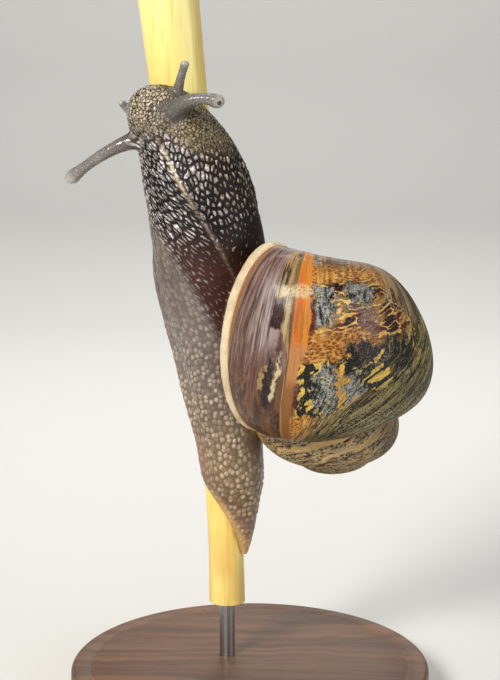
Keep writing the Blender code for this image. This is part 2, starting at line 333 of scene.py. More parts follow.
def addCamera():
    camera = addObject("camera", bpy.data.cameras.new("camera"))
    camera.location = Vector(stage["cameraAt"]) * mm
    camera.rotation_euler = (math.radians(90 - stage["pitch"]), 0, 0)
    camera.data.lens = stage["lens"]
    camera.data.clip_start = stage["nearest"]
    bpy.context.scene.camera = camera


def addLamps():
    for name, (place, size, watts, colour) in lamps.items():
        light = bpy.data.lights.new(name, "AREA")
        light.shape = "DISK"
        light.size = size * mm
        light.energy = watts
        light.color = colour
        lamp = addObject(name, light)
        lamp.location = Vector(place) * mm
        aim = Vector(lampAims.get(name, stage["aim"])) * mm - lamp.location
        lamp.rotation_euler = aim.to_track_quat("-Z", "Y").to_euler()
    world = bpy.data.worlds.new("studio")
    world.use_nodes = True
    sky = world.node_tree.nodes["Background"]
    sky.inputs["Color"].default_value = stage["worldTone"]
    sky.inputs["Strength"].default_value = stage["worldStrength"]
    bpy.context.scene.world = world
    bpy.context.scene.view_settings.view_transform = "Standard"


def addFloor():
    half = stage["floorHalf"]
    points = [(x, y, z) for y, z in stage["floorSweep"] for x in (-half, half)]
    faces = [(i, i + 1, i + 3, i + 2) for i in range(0, len(points) - 2, 2)]
    finish = newMaterial("floorPaper", Base_Color=stage["floorTone"], Roughness=0.9)[0]
    floor = meshObject("studioFloor", points, faces, [finish])
    floor.data.shade_smooth()


addCamera()
addLamps()
addFloor()
print("stage set")


# body: sections, skin and its markings

body = {
    "sections": (  # height, x, y, half width, half thickness, compass angle of the back
        (22.0, -0.8, 1.6, 0.4, 0.4, 65),
        (24.8, -0.9, 1.6, 1.6, 1.2, 63),
        (29.6, -1.5, 1.5, 3.3, 2.6, 59),
        (34.4, -2.4, 1.5, 5.0, 4.2, 56),
        (40.7, -3.0, 1.4, 5.4, 4.7, 51),
        (47.0, -3.5, 1.0, 6.6, 5.4, 47),
        (53.2, -3.7, 0.1, 7.8, 6.0, 43),
        (59.4, -4.2, -0.8, 8.7, 6.6, 36),
        (65.5, -5.4, -1.3, 8.8, 6.9, 28),
        (71.5, -6.2, -1.6, 8.5, 7.0, 10),
        (76.1, -6.9, -1.7, 8.3, 6.9, -8),
        (80.5, -8.0, -1.7, 8.1, 6.7, -22),
        (85.0, -9.4, -1.6, 7.5, 6.2, -32),
        (88.0, -11.0, -1.5, 7.1, 6.0, -33),
        (90.9, -12.4, -1.5, 5.9, 5.2, -33),
        (92.9, -13.0, -1.7, 4.5, 4.1, -33),
        (94.2, -13.4, -1.9, 2.5, 2.3, -33),
        (94.6, -13.6, -1.9, 0.9, 0.8, -33),
    ),
    "step": 0.3,
    "outerPoints": 120,
    "innerPoints": 40,
    "footEdge": 0.45,  # thickness of the foot's rim
    "footSwell": (0.09, 126, 13),  # share of the size, degrees off the back, spread
    "footHollow": (0.05, 104, 10),
    "stemGap": 0.04,
    "wholeFrom": 3.1,  # radians: a ring open less than this is closed, clear of the stem
    "voxel": 0.245,
    "smoothing": 7,
}
stem = {
    "sections": (  # height, x, y, radius
        (14.0, -3.6, 3.0, 2.9),
        (24.0, -3.8, 3.0, 2.8),
        (36.0, -4.5, 3.0, 2.9),
        (60.0, -7.0, 3.0, 3.5),
        (84.0, -9.6, 3.0, 4.1),
        (108.0, -12.2, 3.0, 4.7),
    ),
}
feelerForm = {
    "rings": 46,
    "sides": 28,
    "bunching": 1.3,  # rings get closer towards the tip
    "taper": 1.6,
    "flareFade": 8,
    "bulbLong": 0.95,  # of its radius
    "tipRound": 0.8,
}
feelers = {  # base, middle and tip, radius at the base and end, flare at the root, bulb
    "upperRight": ((-13.4, -5.4, 88.0), (-9.5, -8.7, 94.6), (-3.6, -9.9, 92.1), 1.65, 0.72, 0.9, 1.06),
    "upperLeft": ((-15.0, -2.2, 87.0), (-20.6, -3.0, 86.2), (-27.4, 0.1, 80.2), 1.20, 0.80, 1.5, 1.12),
    "lowerRight": ((-11.0, -3.0, 91.0), (-10.4, -4.7, 95.0), (-9.2, -5.0, 98.2), 0.92, 0.58, 1.6, 0.66),
    "lowerLeft": ((-15.6, -0.6, 89.0), (-18.0, -2.2, 90.8), (-19.1, -2.4, 92.4), 0.85, 0.54, 0.4, 0.60),
}


def sectionFrame(height):
    x, y, halfWidth, halfThickness, facing = between(body["sections"], height)
    angle = math.radians(facing)
    back = np.array([math.sin(angle), -math.cos(angle), 0.0])
    side = np.array([math.cos(angle), math.sin(angle), 0.0])
    return np.array([x, y, height]), side, back, halfWidth, halfThickness


def outline(height, angle):  # the section's rim at angles from the back, in radians
    centre, side, back, halfWidth, halfThickness = sectionFrame(height)
    off = np.degrees(np.abs(angle))
    (swell, swellAt, swellWide), (hollow, hollowAt, hollowWide) = body["footSwell"], body["footHollow"]
    swell = 1 + swell * bump(off, swellAt, swellWide) - hollow * bump(off, hollowAt, hollowWide)
    across = halfWidth * swell * np.sin(angle)
    along = halfThickness * swell * np.cos(angle)
    return centre + across[:, None] * side + along[:, None] * back


def bodyRing(height):
    # the rim from one foot edge over the back to the other, then back along the stem
    x, y, radius = between(stem["sections"], height)
    core = np.array([x, y, height])
    angles = np.linspace(0, math.pi, 361)
    ends = []
    for sign in (-1, 1):
        reach = np.linalg.norm(outline(height, sign * angles) - core, axis=1)
        inside = np.where(reach < radius + body["footEdge"])[0]
        ends.append(angles[inside[0]] if len(inside) else math.pi * 0.995)
    outer = outline(height, np.linspace(-ends[0], ends[1], body["outerPoints"]))
    facing = math.atan2(*(sectionFrame(height)[2][:2][::-1]))
    turns = []
    for end in (outer[-1], outer[0]):
        away = math.atan2(end[1] - y, end[0] - x)
        turns.append((away - facing + math.pi) % tau - math.pi)
    if min(ends) > body["wholeFrom"]:
        inner = np.repeat(outer[-1:], body["innerPoints"], axis=0)
    else:
        spread = facing + np.linspace(turns[0], turns[1], body["innerPoints"])
        reach = radius + body["stemGap"]
        inner = np.stack([x + reach * np.cos(spread), y + reach * np.sin(spread)], 1)
        inner = np.column_stack([inner, np.full(len(inner), height)])
    return np.concatenate([outer, inner])


def bend(route, share):
    base, middle, tip = (np.array(p) for p in route[:3])
    share = np.asarray(share)[..., None]
    return base * (1 - share) ** 2 + middle * 2 * share * (1 - share) + tip * share ** 2


def feelerRadius(route, share):
    wide, slim, flare = route[3:6]
    flare = flare * np.exp(-share * feelerForm["flareFade"])
    return slim + (wide - slim) * (1 - share) ** feelerForm["taper"] + flare


def feelerRings(route):
    slim, bulb = route[4], route[6]
    length = np.linalg.norm(np.array(route[2]) - np.array(route[0]))
    bulbLong, tipRound = bulb * feelerForm["bulbLong"], bulb * feelerForm["tipRound"]
    rings = []
    for i in range(feelerForm["rings"] + 1):
        share = 1 - (1 - i / feelerForm["rings"]) ** feelerForm["bunching"]
        centre = bend(route, share)
        ahead = bend(route, share + 0.01) - bend(route, share - 0.01)
        ahead /= np.linalg.norm(ahead)
        toTip = (1 - share) * length
        radius = feelerRadius(route, share)
        radius += (bulb - slim) * math.exp(-(((toTip - bulb) / bulbLong) ** 2))
        radius *= math.sqrt(max(0.02, 1 - max(0.0, 1 - toTip / tipRound) ** 2))
        rings.append(centre + radius * circle(anglesAround(feelerForm["sides"]), *crossAxes(ahead)))
    return rings


# shell: an outline that turns, grows and slides along its axis

shell = {
    "growth": 1.77,  # size ratio of one whorl to the one before
    "whorls": 4.3,
    "slowing": 0.155,
    "slowingSpan": 1.2,
    "halfWidth": 7.6,
    "halfHeight": 14.3,
    "offset": 9.42,
    "fall": 24.99,
    "turn": -0.211,
    "swell": 0.16,
    "dome": 0.447,
    "drop": 2.014,
    "dropRate": 0.554,
    "lean": 0.046,
    "squeeze": 0.168,  # how much flatter the half towards the apex gets
    "squeezeTurns": (0.285, 2.125),  # behind the lip, where that sets in
    "shift": (0.07, 2.56, 1.98),  # the early whorls sit a little aside
    "shiftPower": 2.27,
    "apex": (14.3, 3.4, 33.9),
    "axis": (0.138, 0.224, -0.965),
    "lipSide": (-0.842, -0.486, -0.233),
    "mouthTurn": -0.02,
    "innerDepth": 0.5,
    "relief": 0.075,  # mm
}
coilAxis = np.array(shell["axis"]) / np.linalg.norm(shell["axis"])
coilOut = np.array(shell["lipSide"]) - coilAxis * np.dot(shell["lipSide"], coilAxis)
coilOut /= np.linalg.norm(coilOut)
coilOn = np.cross(coilAxis, coilOut)


def coilPoint(turn, around, size=1.0):  # a point of the shell, as numbers
    c, s = math.cos(shell["turn"]), math.sin(shell["turn"])
    x = shell["halfWidth"] * size * np.cos(around)
    z = shell["halfHeight"] * size * np.sin(around)
    z = z * (1 - shell["squeeze"] * smooth(-turn, *shell["squeezeTurns"]) * np.maximum(np.sin(around), 0))
    angle = turn + shell["lean"] * np.sin(around)
    rate = math.log(shell["growth"]) / tau
    scale = np.exp(rate * angle - shell["slowing"] * (np.exp(angle / shell["slowingSpan"]) - 1))
    radius = scale * (shell["offset"] + x * c - z * s) * (1 + shell["swell"] * (1 - scale))
    fall = shell["fall"] * scale * (1 - shell["dome"] + shell["dome"] * scale)
    along = scale * (x * s + z * c) - fall - shell["drop"] * np.exp(shell["dropRate"] * angle)
    flat = np.cos(angle)[..., None] * coilOut + np.sin(angle)[..., None] * coilOn
    aside = np.maximum(1 - scale, 0) ** shell["shiftPower"]
    place = np.array(shell["apex"]) + flat * radius[..., None] + along[..., None] * coilAxis
    return place + aside[..., None] * np.array(shell["shift"])


# the skin's form: body, feelers and mantle in one closed surface

collar = {
    "size": 0.86,  # of the mouth's outline
    "insideTurn": -0.42,
    "depth": 7.5,  # mm out of the mouth, into the body
    "endSize": 0.55,
    "rings": 10,
    "sides": 72,
}


def collarRings():
    count, steps = collar["sides"], collar["rings"]
    rings = []
    for turn in np.linspace(collar["insideTurn"], shell["mouthTurn"], steps):
        rings.append(coilPoint(np.full(count, turn), anglesAround(count), collar["size"]))
    mouth = rings[-1]
    centre = mouth.mean(axis=0)
    for share in np.linspace(1 / steps, 1, steps):
        size = 1 + (collar["endSize"] - 1) * share ** 2
        rings.append(centre + (mouth - centre) * size + coilOn * collar["depth"] * share)
    return rings


def joinForms(name, forms):
    bm = bmesh.new()
    for form in forms:
        bm.from_mesh(form.data)
        bpy.data.objects.remove(form)
    mesh = bpy.data.meshes.new(name)
    bm.to_mesh(mesh)
    bm.free()
    return addObject(name, mesh)


def skinForm():
    low, high = body["sections"][0][0], body["sections"][-1][0]
    heights = np.arange(low, high + 0.01, body["step"])
    forms = [loft("trunkForm", [bodyRing(h) for h in heights])]
    for name, route in feelers.items():
        forms.append(loft(name + "Form", feelerRings(route)))
    forms.append(loft("collarForm", collarRings()))
    form = joinForms("skinForm", forms)
    remesh = form.modifiers.new("oneSurface", "REMESH")
    remesh.mode = "VOXEL"
    remesh.voxel_size = body["voxel"] * mm
    even = form.modifiers.new("even", "SMOOTH")
    even.factor = 0.5
    even.iterations = body["smoothing"]
    return plainCopy("skinForm", form)


skinZones = {  # heights in mm where one kind of skin gives way to the next, angles in degrees
    "head": (85.2, 90.6),
    "headLower": 1.9,  # mm, how much lower the head's skin reaches on the right
    "headLowerAngle": (12, 45),
    "cream": (87.4, 90.2),
    "creamAngle": (35, 60),
    "wallTop": (68, 80),
    "wallEdge": (52, 72, 1.3),  # angle at a height, and how fast it goes down with height
    "rear": (50, 58),
    "mantle": (67, 76),
    "fringe": (0.5, 2.6),  # mm from the stem
    "ridge": (0.42, 0.26),  # mm from the middle of the back, and half width
    "ridgeFrom": (64, 70),
    "ridgeTo": (84.5, 87),
    "stalk": (0.10, 0.34),  # share of a feeler's length
    "bulb": (0.86, 0.95),
    "root": (0.30, 0.70),
    "onFeeler": (0.05, 0.9),  # mm off its surface
}


def bodyPlaces(points):  # mm sideways over the back, and degrees off the middle of the back
    grid = np.arange(body["sections"][0][0], body["sections"][-1][0] + 0.1, 0.1)
    table = np.array([between(body["sections"], h) for h in grid])
    x, y, halfWidth, halfThickness, facing = (np.interp(points[:, 2], grid, column) for column in table.T)
    facing = np.radians(facing)
    offX, offY = points[:, 0] - x, points[:, 1] - y
    across = (offX * np.cos(facing) + offY * np.sin(facing)) / halfWidth
    outward = (offX * np.sin(facing) - offY * np.cos(facing)) / halfThickness
    angle = np.degrees(np.arctan2(across, outward))
    return np.radians(angle) * np.sqrt(halfWidth * halfThickness), angle


def feelerFields(points):
    stalk, bulb, root = np.zeros((3, len(points)))
    for feeler in feelers.values():
        shares = np.linspace(0, 1, 61)
        reach = np.linalg.norm(points[:, None, :] - bend(feeler, shares)[None], axis=2)
        nearest = reach.argmin(axis=1)
        share = shares[nearest]
        close = reach[np.arange(len(points)), nearest]
        on = 1 - smooth(close - feelerRadius(feeler, share) * 1.1, *skinZones["onFeeler"])
        stalk = np.maximum(stalk, on * smooth(share, *skinZones["stalk"]))
        bulb = np.maximum(bulb, on * smooth(share, *skinZones["bulb"]))
        root = np.maximum(root, on * (1 - smooth(share, *skinZones["root"])))
    return {"stalk": stalk, "bulb": bulb, "root": root}


def stemGap(points):  # mm between a point and the stem
    levels, *columns = np.array(stem["sections"]).T
    x, y, radius = (np.interp(points[:, 2], levels, column) for column in columns)
    return np.hypot(points[:, 0] - x, points[:, 1] - y) - radius


def skinFields(points):  # what each point of the skin is part of, points in mm
    height = points[:, 2]
    across, angle = bodyPlaces(points)
    fields = {"across": across, "down": 95 - height, "angle": angle, **feelerFields(points)}
    bodyPart = 1 - fields["stalk"]
    lower = skinZones["headLower"] * smooth(angle, *skinZones["headLowerAngle"])
    fields["head"] = smooth(height + lower, *skinZones["head"]) * bodyPart
    cream = (1 - smooth(angle, *skinZones["creamAngle"])) * smooth(height, *skinZones["cream"])
    fields["cream"] = fields["head"] * cream
    edgeAngle, edgeHeight, edgeSlope = skinZones["wallEdge"]
    edge = edgeAngle - edgeSlope * (edgeHeight - height)
    leftWall = smooth(-angle, edge - 7, edge + 9) * (1 - smooth(height, *skinZones["wallTop"]))
    rear = 1 - smooth(height, *skinZones["rear"])
    fields["wall"] = np.maximum(leftWall, rear) * bodyPart
    fields["mantle"] = (1 - smooth(height, *skinZones["mantle"])) * (1 - fields["wall"])
    # pebbles get smaller towards the right flank and the mantle
    shrink = 0.10 * smooth(angle, 25, 70) + 0.26 * (1 - smooth(height, 67, 80)) * smooth(angle, -60, 10)
    fields["shrink"] = np.maximum(shrink, 0.08 * smooth(angle, 6, 16) * (1 - smooth(height, 76, 84)))
    # flatter skin along the right of the tail and beside the lip
    nearLip = smooth(angle, -52, -34) * smooth(height, 44, 50) * (1 - smooth(height, 60, 66))
    fields["flat"] = np.maximum(smooth(angle, -32, -4) * smooth(height, 33, 40), nearLip) * rear
    ridge = bump(across, *skinZones["ridge"])
    fields["ridge"] = ridge * smooth(height, *skinZones["ridgeFrom"]) * (
        1 - smooth(height, *skinZones["ridgeTo"]))
    fields["fringe"] = (1 - smooth(stemGap(points), *skinZones["fringe"])) * bodyPart
    return fields


def storeFields(piece, fields):
    for name, values in fields.items():
        layer = piece.data.attributes.new(name, "FLOAT", "POINT")
        layer.data.foreach_set("value", np.asarray(values, np.float32))


def pointsOf(piece):
    points = np.empty(len(piece.data.vertices) * 3, np.float32)
    piece.data.vertices.foreach_get("co", points)
    return points.reshape(-1, 3) / mm


skinMarks = {
    "neckWide": 0.64,  # mm, across a row of pebbles
    "neckLong": 1.35,
    "rowAngle": 27.0,
    "wartWide": 0.80,
    "wartLong": 0.90,
    "headCell": 0.52,
    "stalkCell": 0.34,
    "neckHeight": 0.19,  # mm of relief
    "wartHeight": 0.20,
    "headHeight": 0.14,
    "stalkHeight": 0.03,
}


def skinCells(bench, read, place):
    # one set of cells for each kind of skin: how deep inside a cell a point is, and a draw for each
    lean = math.radians(skinMarks["rowAngle"])
    across, down = read("across"), read("down")
    sway = bench.noise(place, 260, 2) - 0.5
    side = bench.math("SIGN", across - 0.4)
    off = (across - 0.4).abs() + sway * 0.9
    wide = (off * math.cos(lean) + down * math.sin(lean)) / skinMarks["neckWide"]
    long = (down * math.cos(lean) - off * math.sin(lean)) / skinMarks["neckLong"]
    kinds = {"neck": (bench.point(wide + side * 40, long), 1.0, True)}
    rounds = bench.point((across + sway * 0.6) / skinMarks["wartWide"], down / skinMarks["wartLong"])
    kinds["wart"] = (rounds, 1.0, True)
    kinds["headCell"] = (place, 1 / (skinMarks["headCell"] * mm), False)
    kinds["stalkCell"] = (place, 1 / (skinMarks["stalkCell"] * mm), False)
    cells = {}
    for name, (vector, scale, flat) in kinds.items():
        nearest = bench.cells(vector, scale, "F1", 0.85, flat)
        depth = bench.cells(vector, scale, "DISTANCE_TO_EDGE", 0.85, flat).out("Distance")
        if name == "wart":  # round bumps instead of packed cells
            depth = depth.least(0.12) + (0.60 - nearest.out("Distance")).most(0.0)
        cells[name] = (depth, bench.parts(nearest.out("Color"))[0])
    return cells


def skinHeight(read, cells):  # mm above the plain form
    shrink = read("shrink")
    depth, draw = cells["neck"]
    start = 0.05 + shrink + (1 - draw) * 0.11
    neck = ((depth - start) / 0.26).rise(0.0, 1.0) * (0.5 + draw * 0.5) * (1 - shrink * 1.5)
    depth, draw = cells["wart"]
    wart = depth.rise(0.03, 0.60) * (0.2 + draw * 0.8) * (0.35 + read("down").rise(28, 46) * 0.65)
    depth, draw = cells["headCell"]
    head = depth.rise(0.02, 0.24) * (0.6 + draw * 0.4)
    stalk = cells["stalkCell"][0].rise(0.0, 0.3)
    isHead, isWall, isStalk = read("head"), read("wall"), read("stalk")
    height = neck * (1 - isHead) * (1 - isWall) * (1 - isStalk) * skinMarks["neckHeight"]
    height = height + wart * isWall * skinMarks["wartHeight"] * (1 - read("fringe").most(read("flat")) * 0.8)
    height = height + head * isHead * skinMarks["headHeight"]
    height = height + stalk * isStalk * skinMarks["stalkHeight"]
    return height * (1 - read("ridge") * 0.6) + read("ridge") * 0.12


def skinTree(values):
    bench, given = newTree("skinRelief", values)
    place = bench.node("GeometryNodeInputPosition").out()

    def read(name):
        node = bench.node("GeometryNodeInputNamedAttribute", {"data_type": "FLOAT"}, {"Name": name})
        return node.out("Attribute")

    height = skinHeight(read, skinCells(bench, read, place)) * mm * given.out("Relief")
    normal = bench.node("GeometryNodeInputNormal").out()
    shift = bench.vector("SCALE", normal, scale=height)
    moved = bench.node("GeometryNodeSetPosition", None, {"Geometry": given.out("Geometry"), "Offset": shift})
    endTree(bench, moved.out(), given.out("Material"))
    return bench.tree


skinTones = tonesOf({
    "neckGround": (20, 13, 11),
    "neckPebble": (142, 132, 127),
    # painted highlight tone for the glints on the pebbles and warts
    "pebbleRim": (230, 222, 224),
    "flankPebble": (186, 166, 134),
    "mantle": (66, 36, 27),
    # the dark skin of the mantle and of the joints between warts, also laid on the right flank as painted
    # shade
    "mantleDark": (32, 20, 15),
    "wallGround": (116, 103, 96),
    "wallUpper": (88, 79, 75),
    "wallWart": (186, 168, 150),
    "tailGround": (114, 92, 64),
    "tailWart": (186, 163, 132),
    "tailFlat": (116, 94, 68),
    "headGround": (58, 46, 36),
    "headCell": (204, 188, 162),
    "shoulderCell": (158, 142, 106),
    "stalk": (148, 144, 140),
    "stalkGround": (106, 100, 95),
    # painted shade tone for the fold at a feeler's root
    "stalkRoot": (84, 74, 68),
    "bulb": (176, 169, 158),
    "ridge": (220, 202, 166),
    "ridgeGrey": (122, 104, 90),
    "fringe": (206, 166, 112),
    "fringeMauve": (142, 108, 94),
})


def backSkin(bench, read, paint, cells):  # dark, with pale pebbles in rows; brown near the shell
    depth, draw = cells["neck"]
    angle, down, wall, mantle = read("angle"), read("down"), read("wall"), read("mantle")
    pebbleIn = ((depth - (0.07 + read("shrink") + (1 - draw) * 0.11)) / 0.14).rise(0.0, 1.0)
    pebble = paint(
        "neckPebble",
        (angle.rise(15, 70) * 0.8, "flankPebble"),
        # painted shade: the pebbles darken on the lower right of the neck, next to the shell
        (angle.rise(20, 50) * down.rise(14, 21) * 0.85, "mantleDark"),
    )
    # gleam: painted highlights, small bright spots on the wet pebbles, fewer towards the right flank
    gleam = bench.noise(objectPoint(bench), 2400, 2).rise(0.46, 0.62) * pebbleIn
    gleam = gleam * (1 - angle.rise(30, 75) * 0.5)
    tone = paint(
        "neckGround",
        (mantle, "mantle"),
        # the right flank's ground darkens: partly the skin's own darker tone, partly painted shade on the
        # side away from the light
        (angle.rise(10, 45) * (1 - wall) * 0.7, "mantleDark"),
        (pebbleIn * (0.40 + draw * 0.60) * (1 - mantle * 0.4), pebble),
        (gleam * (0.38 + draw * 0.60) * (1 - mantle * 0.8), "pebbleRim"),
    )
    return tone, pebbleIn


def wallSkin(bench, read, paint, cells):  # the sides and the tail, with round warts
    depth, draw = cells["wart"]
    down = read("down")
    isTail = down.rise(38, 60)
    bright = down.rise(30, 50) * 0.75 + 0.25
    # glint: painted highlights, small bright spots on the wet warts
    glint = bench.noise(objectPoint(bench), 3200, 2).rise(0.56, 0.66) * depth.rise(0.25, 0.5)
    glint = glint * draw.rise(0.3, 0.9)
    return paint(
        "wallGround",
        (isTail, "tailGround"),
        ((1 - down.rise(30, 44)) * 0.75, "wallUpper"),
        ((1 - depth.rise(0.02, 0.10)) * down.rise(30, 50) * 0.3, "mantleDark"),
        (depth.rise(0.06, 0.45) * draw.rise(-0.2, 0.9) * bright, paint("wallWart", (isTail, "tailWart"))),
        (glint * bright * 0.5, "pebbleRim"),
        (read("flat") * 0.75, "tailFlat"),
    )


def headSkin(read, paint, cells):
    depth, draw = cells["headCell"]
    cell = paint("shoulderCell", (read("cream"), "headCell"))
    return paint("headGround", (depth.rise(0.04, 0.17) * (0.75 + draw * 0.25), cell))


def skinMaterial():
    finish, bench, shader = newMaterial("moistSkin", Coat_Roughness=0.16, Specular_IOR_Level=0.23)
    place = objectPoint(bench)
    paint = painter(bench, skinTones)

    def read(name):
        return attribute(bench, name)

    cells = skinCells(bench, read, place)
    broad = bench.noise(place, 160, 3)
    fine = bench.noise(place, 1500, 3)
    angle, down, wall, fringe = read("angle"), read("down"), read("wall"), read("fringe")
    tone, pebbleIn = backSkin(bench, read, paint, cells)
    beads = bench.noise(bench.point(down * 1.5, 0.0), 1.0, 2).rise(0.38, 0.56)
    tone = paint(
        tone,
        (wall, wallSkin(bench, read, paint, cells)),
        (read("head"), headSkin(read, paint, cells)),
        (read("stalk"), paint(
            "stalkGround",
            (cells["stalkCell"][0].rise(0.02, 0.3), "stalk"),
            # painted shade: the stalk darkens towards its root, in the fold where it leaves the head
            (read("root") * 0.6, "stalkRoot"),
        )),
        (read("bulb"), "bulb"),
        (read("ridge") * (0.25 + beads * 0.75), paint("ridge", (down.rise(13, 20), "ridgeGrey"))),
        (fringe.within(0.05, 0.4, 0.1) * 0.7 * down.rise(48, 58), "fringeMauve"),
        (fringe.rise(0.2, 0.8) * 0.85 * down.rise(50, 60), "fringe"),
    )
    shade = broad.rise(0.3, 0.7) * 0.3 + 0.82
    tone = bench.mix(1.0, tone, bench.point(shade, shade, shade), "MULTIPLY")
    smallBumps = skinHeight(read, cells) * 0.7 + fine * 0.02
    rough = 0.44 - pebbleIn * (1 - wall) * 0.22 + broad * 0.08 + angle.rise(20, 60) * 0.1
    coat = (0.05 + pebbleIn * 0.85) * (1 - angle.rise(20, 55) * 0.95) * (1 - read("head") * 0.6)
    coat = coat * (1 - wall) + wall * 0.4 + read("stalk") * 0.45
    feed(bench, shader, Base_Color=tone, Roughness=rough, Coat_Weight=coat)
    feed(bench, shader, Normal=bumpOf(bench, smallBumps * mm, 1.0))
    return finish


def makeSkin():
    form = skinForm()
    storeFields(form, skinFields(pointsOf(form)))
    material = skinMaterial()
    form.data.materials.append(material)
    values = {"Relief": 1.0, "Material": material}
    skin = grow("skin", skinTree(values), values, form.data)
    skin.data.shade_smooth()
    bpy.data.objects.remove(form)
    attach(skin, "root")
    fleshNodes = ["head", "neck", "trunk", "tail", "mantle_collar"]
    fleshNodes += [f"{row}_tentacle_{side}" for row in ("upper", "lower") for side in ("left", "right")]
    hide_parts(*fleshNodes)
    print("skin made,", len(skin.data.polygons), "faces")


makeSkin()


# shell

shellMesh = {"stepsAlong": 500, "stepsAround": 190, "outerShare": 0.95}


def coilWires(bench, g, turn, around, size):  # coilPoint's formula, for nodes, and the whorl's scale
    flatter = g("Squeeze") * (-turn).rise(g("Squeeze Start"), g("Squeeze End")) * around.sin().most(0.0)
    wide = g("Half Width") * size * around.cos()
    high = g("Half Height") * size * around.sin() * (1 - flatter)
    tilt = g("Tilt")
    reach = wide * tilt.cos() - high * tilt.sin()
    rise = wide * tilt.sin() + high * tilt.cos()
    angle = turn + g("Lean") * around.sin()
    slowed = g("Slowing") * ((angle / g("Slowing Span")).exp() - 1)
    scale = (g("Growth Rate") * angle - slowed).exp()
    radius = scale * (g("Offset") + reach) * (1 + g("Swell") * (1 - scale))
    fall = g("Fall") * scale * (1 - g("Dome") + g("Dome") * scale)
    along = scale * rise - fall - g("Drop") * (g("Drop Rate") * angle).exp()
    aside = (1 - scale).most(0.0).power(g("Shift Power"))
    place = bench.vector("SCALE", g("Out"), scale=angle.cos() * radius)
    for name, length in (("On", angle.sin() * radius), ("Axis", along), ("Shift", aside)):
        place = bench.vector("ADD", place, bench.vector("SCALE", g(name), scale=length))
    place = bench.vector("ADD", place, g("Apex"))
    return bench.vector("SCALE", place, scale=mm), scale


def shellTree(values):  # a grid wound up: its rows become outlines, its columns run along the whorls
    bench, given = newTree("coiledShell", values)
    g = given.out
    sizes = {"Size X": 1.0, "Size Y": 1.0, "Vertices X": g("Steps Along"), "Vertices Y": g("Steps Around")}
    grid = bench.node("GeometryNodeMeshGrid", None, sizes).out("Mesh")
    x, y = bench.parts(bench.node("GeometryNodeInputPosition").out())[:2]
    row = x + 0.5
    around = y * tau
    degrees = around * (360 / tau)
    outer = (row / g("Outer Share")).least(1.0)
    fold = ((row - g("Outer Share")) / (1 - g("Outer Share"))).most(0.0)  # the part inside the mouth
    # rows are spaced by the whorl's own size, so that the small whorls get fewer
    rate = g("Growth Rate")
    first = (rate * g("First Turn")).exp()
    last = (rate * g("Last Turn")).exp()
    turn = bench.math("LOGARITHM", first + (last - first) * outer, math.e) / rate
    turn = turn - fold * g("Inner Depth")
    size = 1 - fold.rise(0.0, 0.12) * 0.06
    size = size * bench.math("GREATER_THAN", row, 0.0001) * bench.math("LESS_THAN", row, 0.9999)
    place, scale = coilWires(bench, g, turn, around, size)
    stored = bench.node("GeometryNodeStoreNamedAttribute", {"data_type": "FLOAT2", "domain": "CORNER"},
                        {"Geometry": grid, "Name": "coil", "Value": bench.point(turn, degrees)})
    height = shellHeight(bench, turn, degrees, place) * (1 - fold.rise(0.0, 0.05))
    kept = bench.node("GeometryNodeStoreNamedAttribute", {"data_type": "FLOAT", "domain": "POINT"},
                      {"Geometry": stored.out(), "Name": "rise", "Value": height * g("Relief") * scale})
    shaped = bench.node("GeometryNodeSetPosition", None, {"Geometry": kept.out(), "Position": place})
    closed = bench.node("GeometryNodeMergeByDistance", None, {"Geometry": shaped.out(), "Distance": 0.000004})
    normal = bench.node("GeometryNodeInputNormal").out()
    risen = bench.node("GeometryNodeInputNamedAttribute", {"data_type": "FLOAT"}, {"Name": "rise"})
    shift = bench.vector("SCALE", normal, scale=risen.out("Attribute") * mm)
    ribbed = bench.node("GeometryNodeSetPosition", None, {"Geometry": closed.out(), "Offset": shift})
    endTree(bench, ribbed.out(), g("Material"))
    return bench.tree


def growthTurn(turn, around):
    # growth lines swing back towards the suture, more so on the older side
    below = around.most(0.0) / 45
    above = around.least(0.0) / 45
    swing = (around.most(0.0) * 0.006 - turn).rise(1.0, 1.5) * 0.8 + 0.12
    return turn - below * swing - above * ((-turn).rise(1.0, 2.0) * 0.25 + 0.07)


def shellHeight(bench, turn, around, place):  # 0 to about 1: growth ribs, rests and dents
    growth = growthTurn(turn, around)
    ribs = bench.noise(bench.point(growth * 13, around * 0.018), 1.0, 3)
    dents = bench.noise(place, 420, 2)
    rests = 0.0
    for centre, width, depth in shellRests:
        rests = rests + (growth - centre).rise(-width, width) * depth
    return ribs * 1.1 + dents * 0.9 - rests


shellRests = (  # where growth paused: turn, softness, step down
    (-0.58, 0.012, 0.9),
    (-0.69, 0.02, 0.5),
    (-0.80, 0.02, -0.8),
    (-2.12, 0.03, 0.9),
    (-2.35, 0.03, -0.4),
    (-4.1, 0.03, 0.8),
)


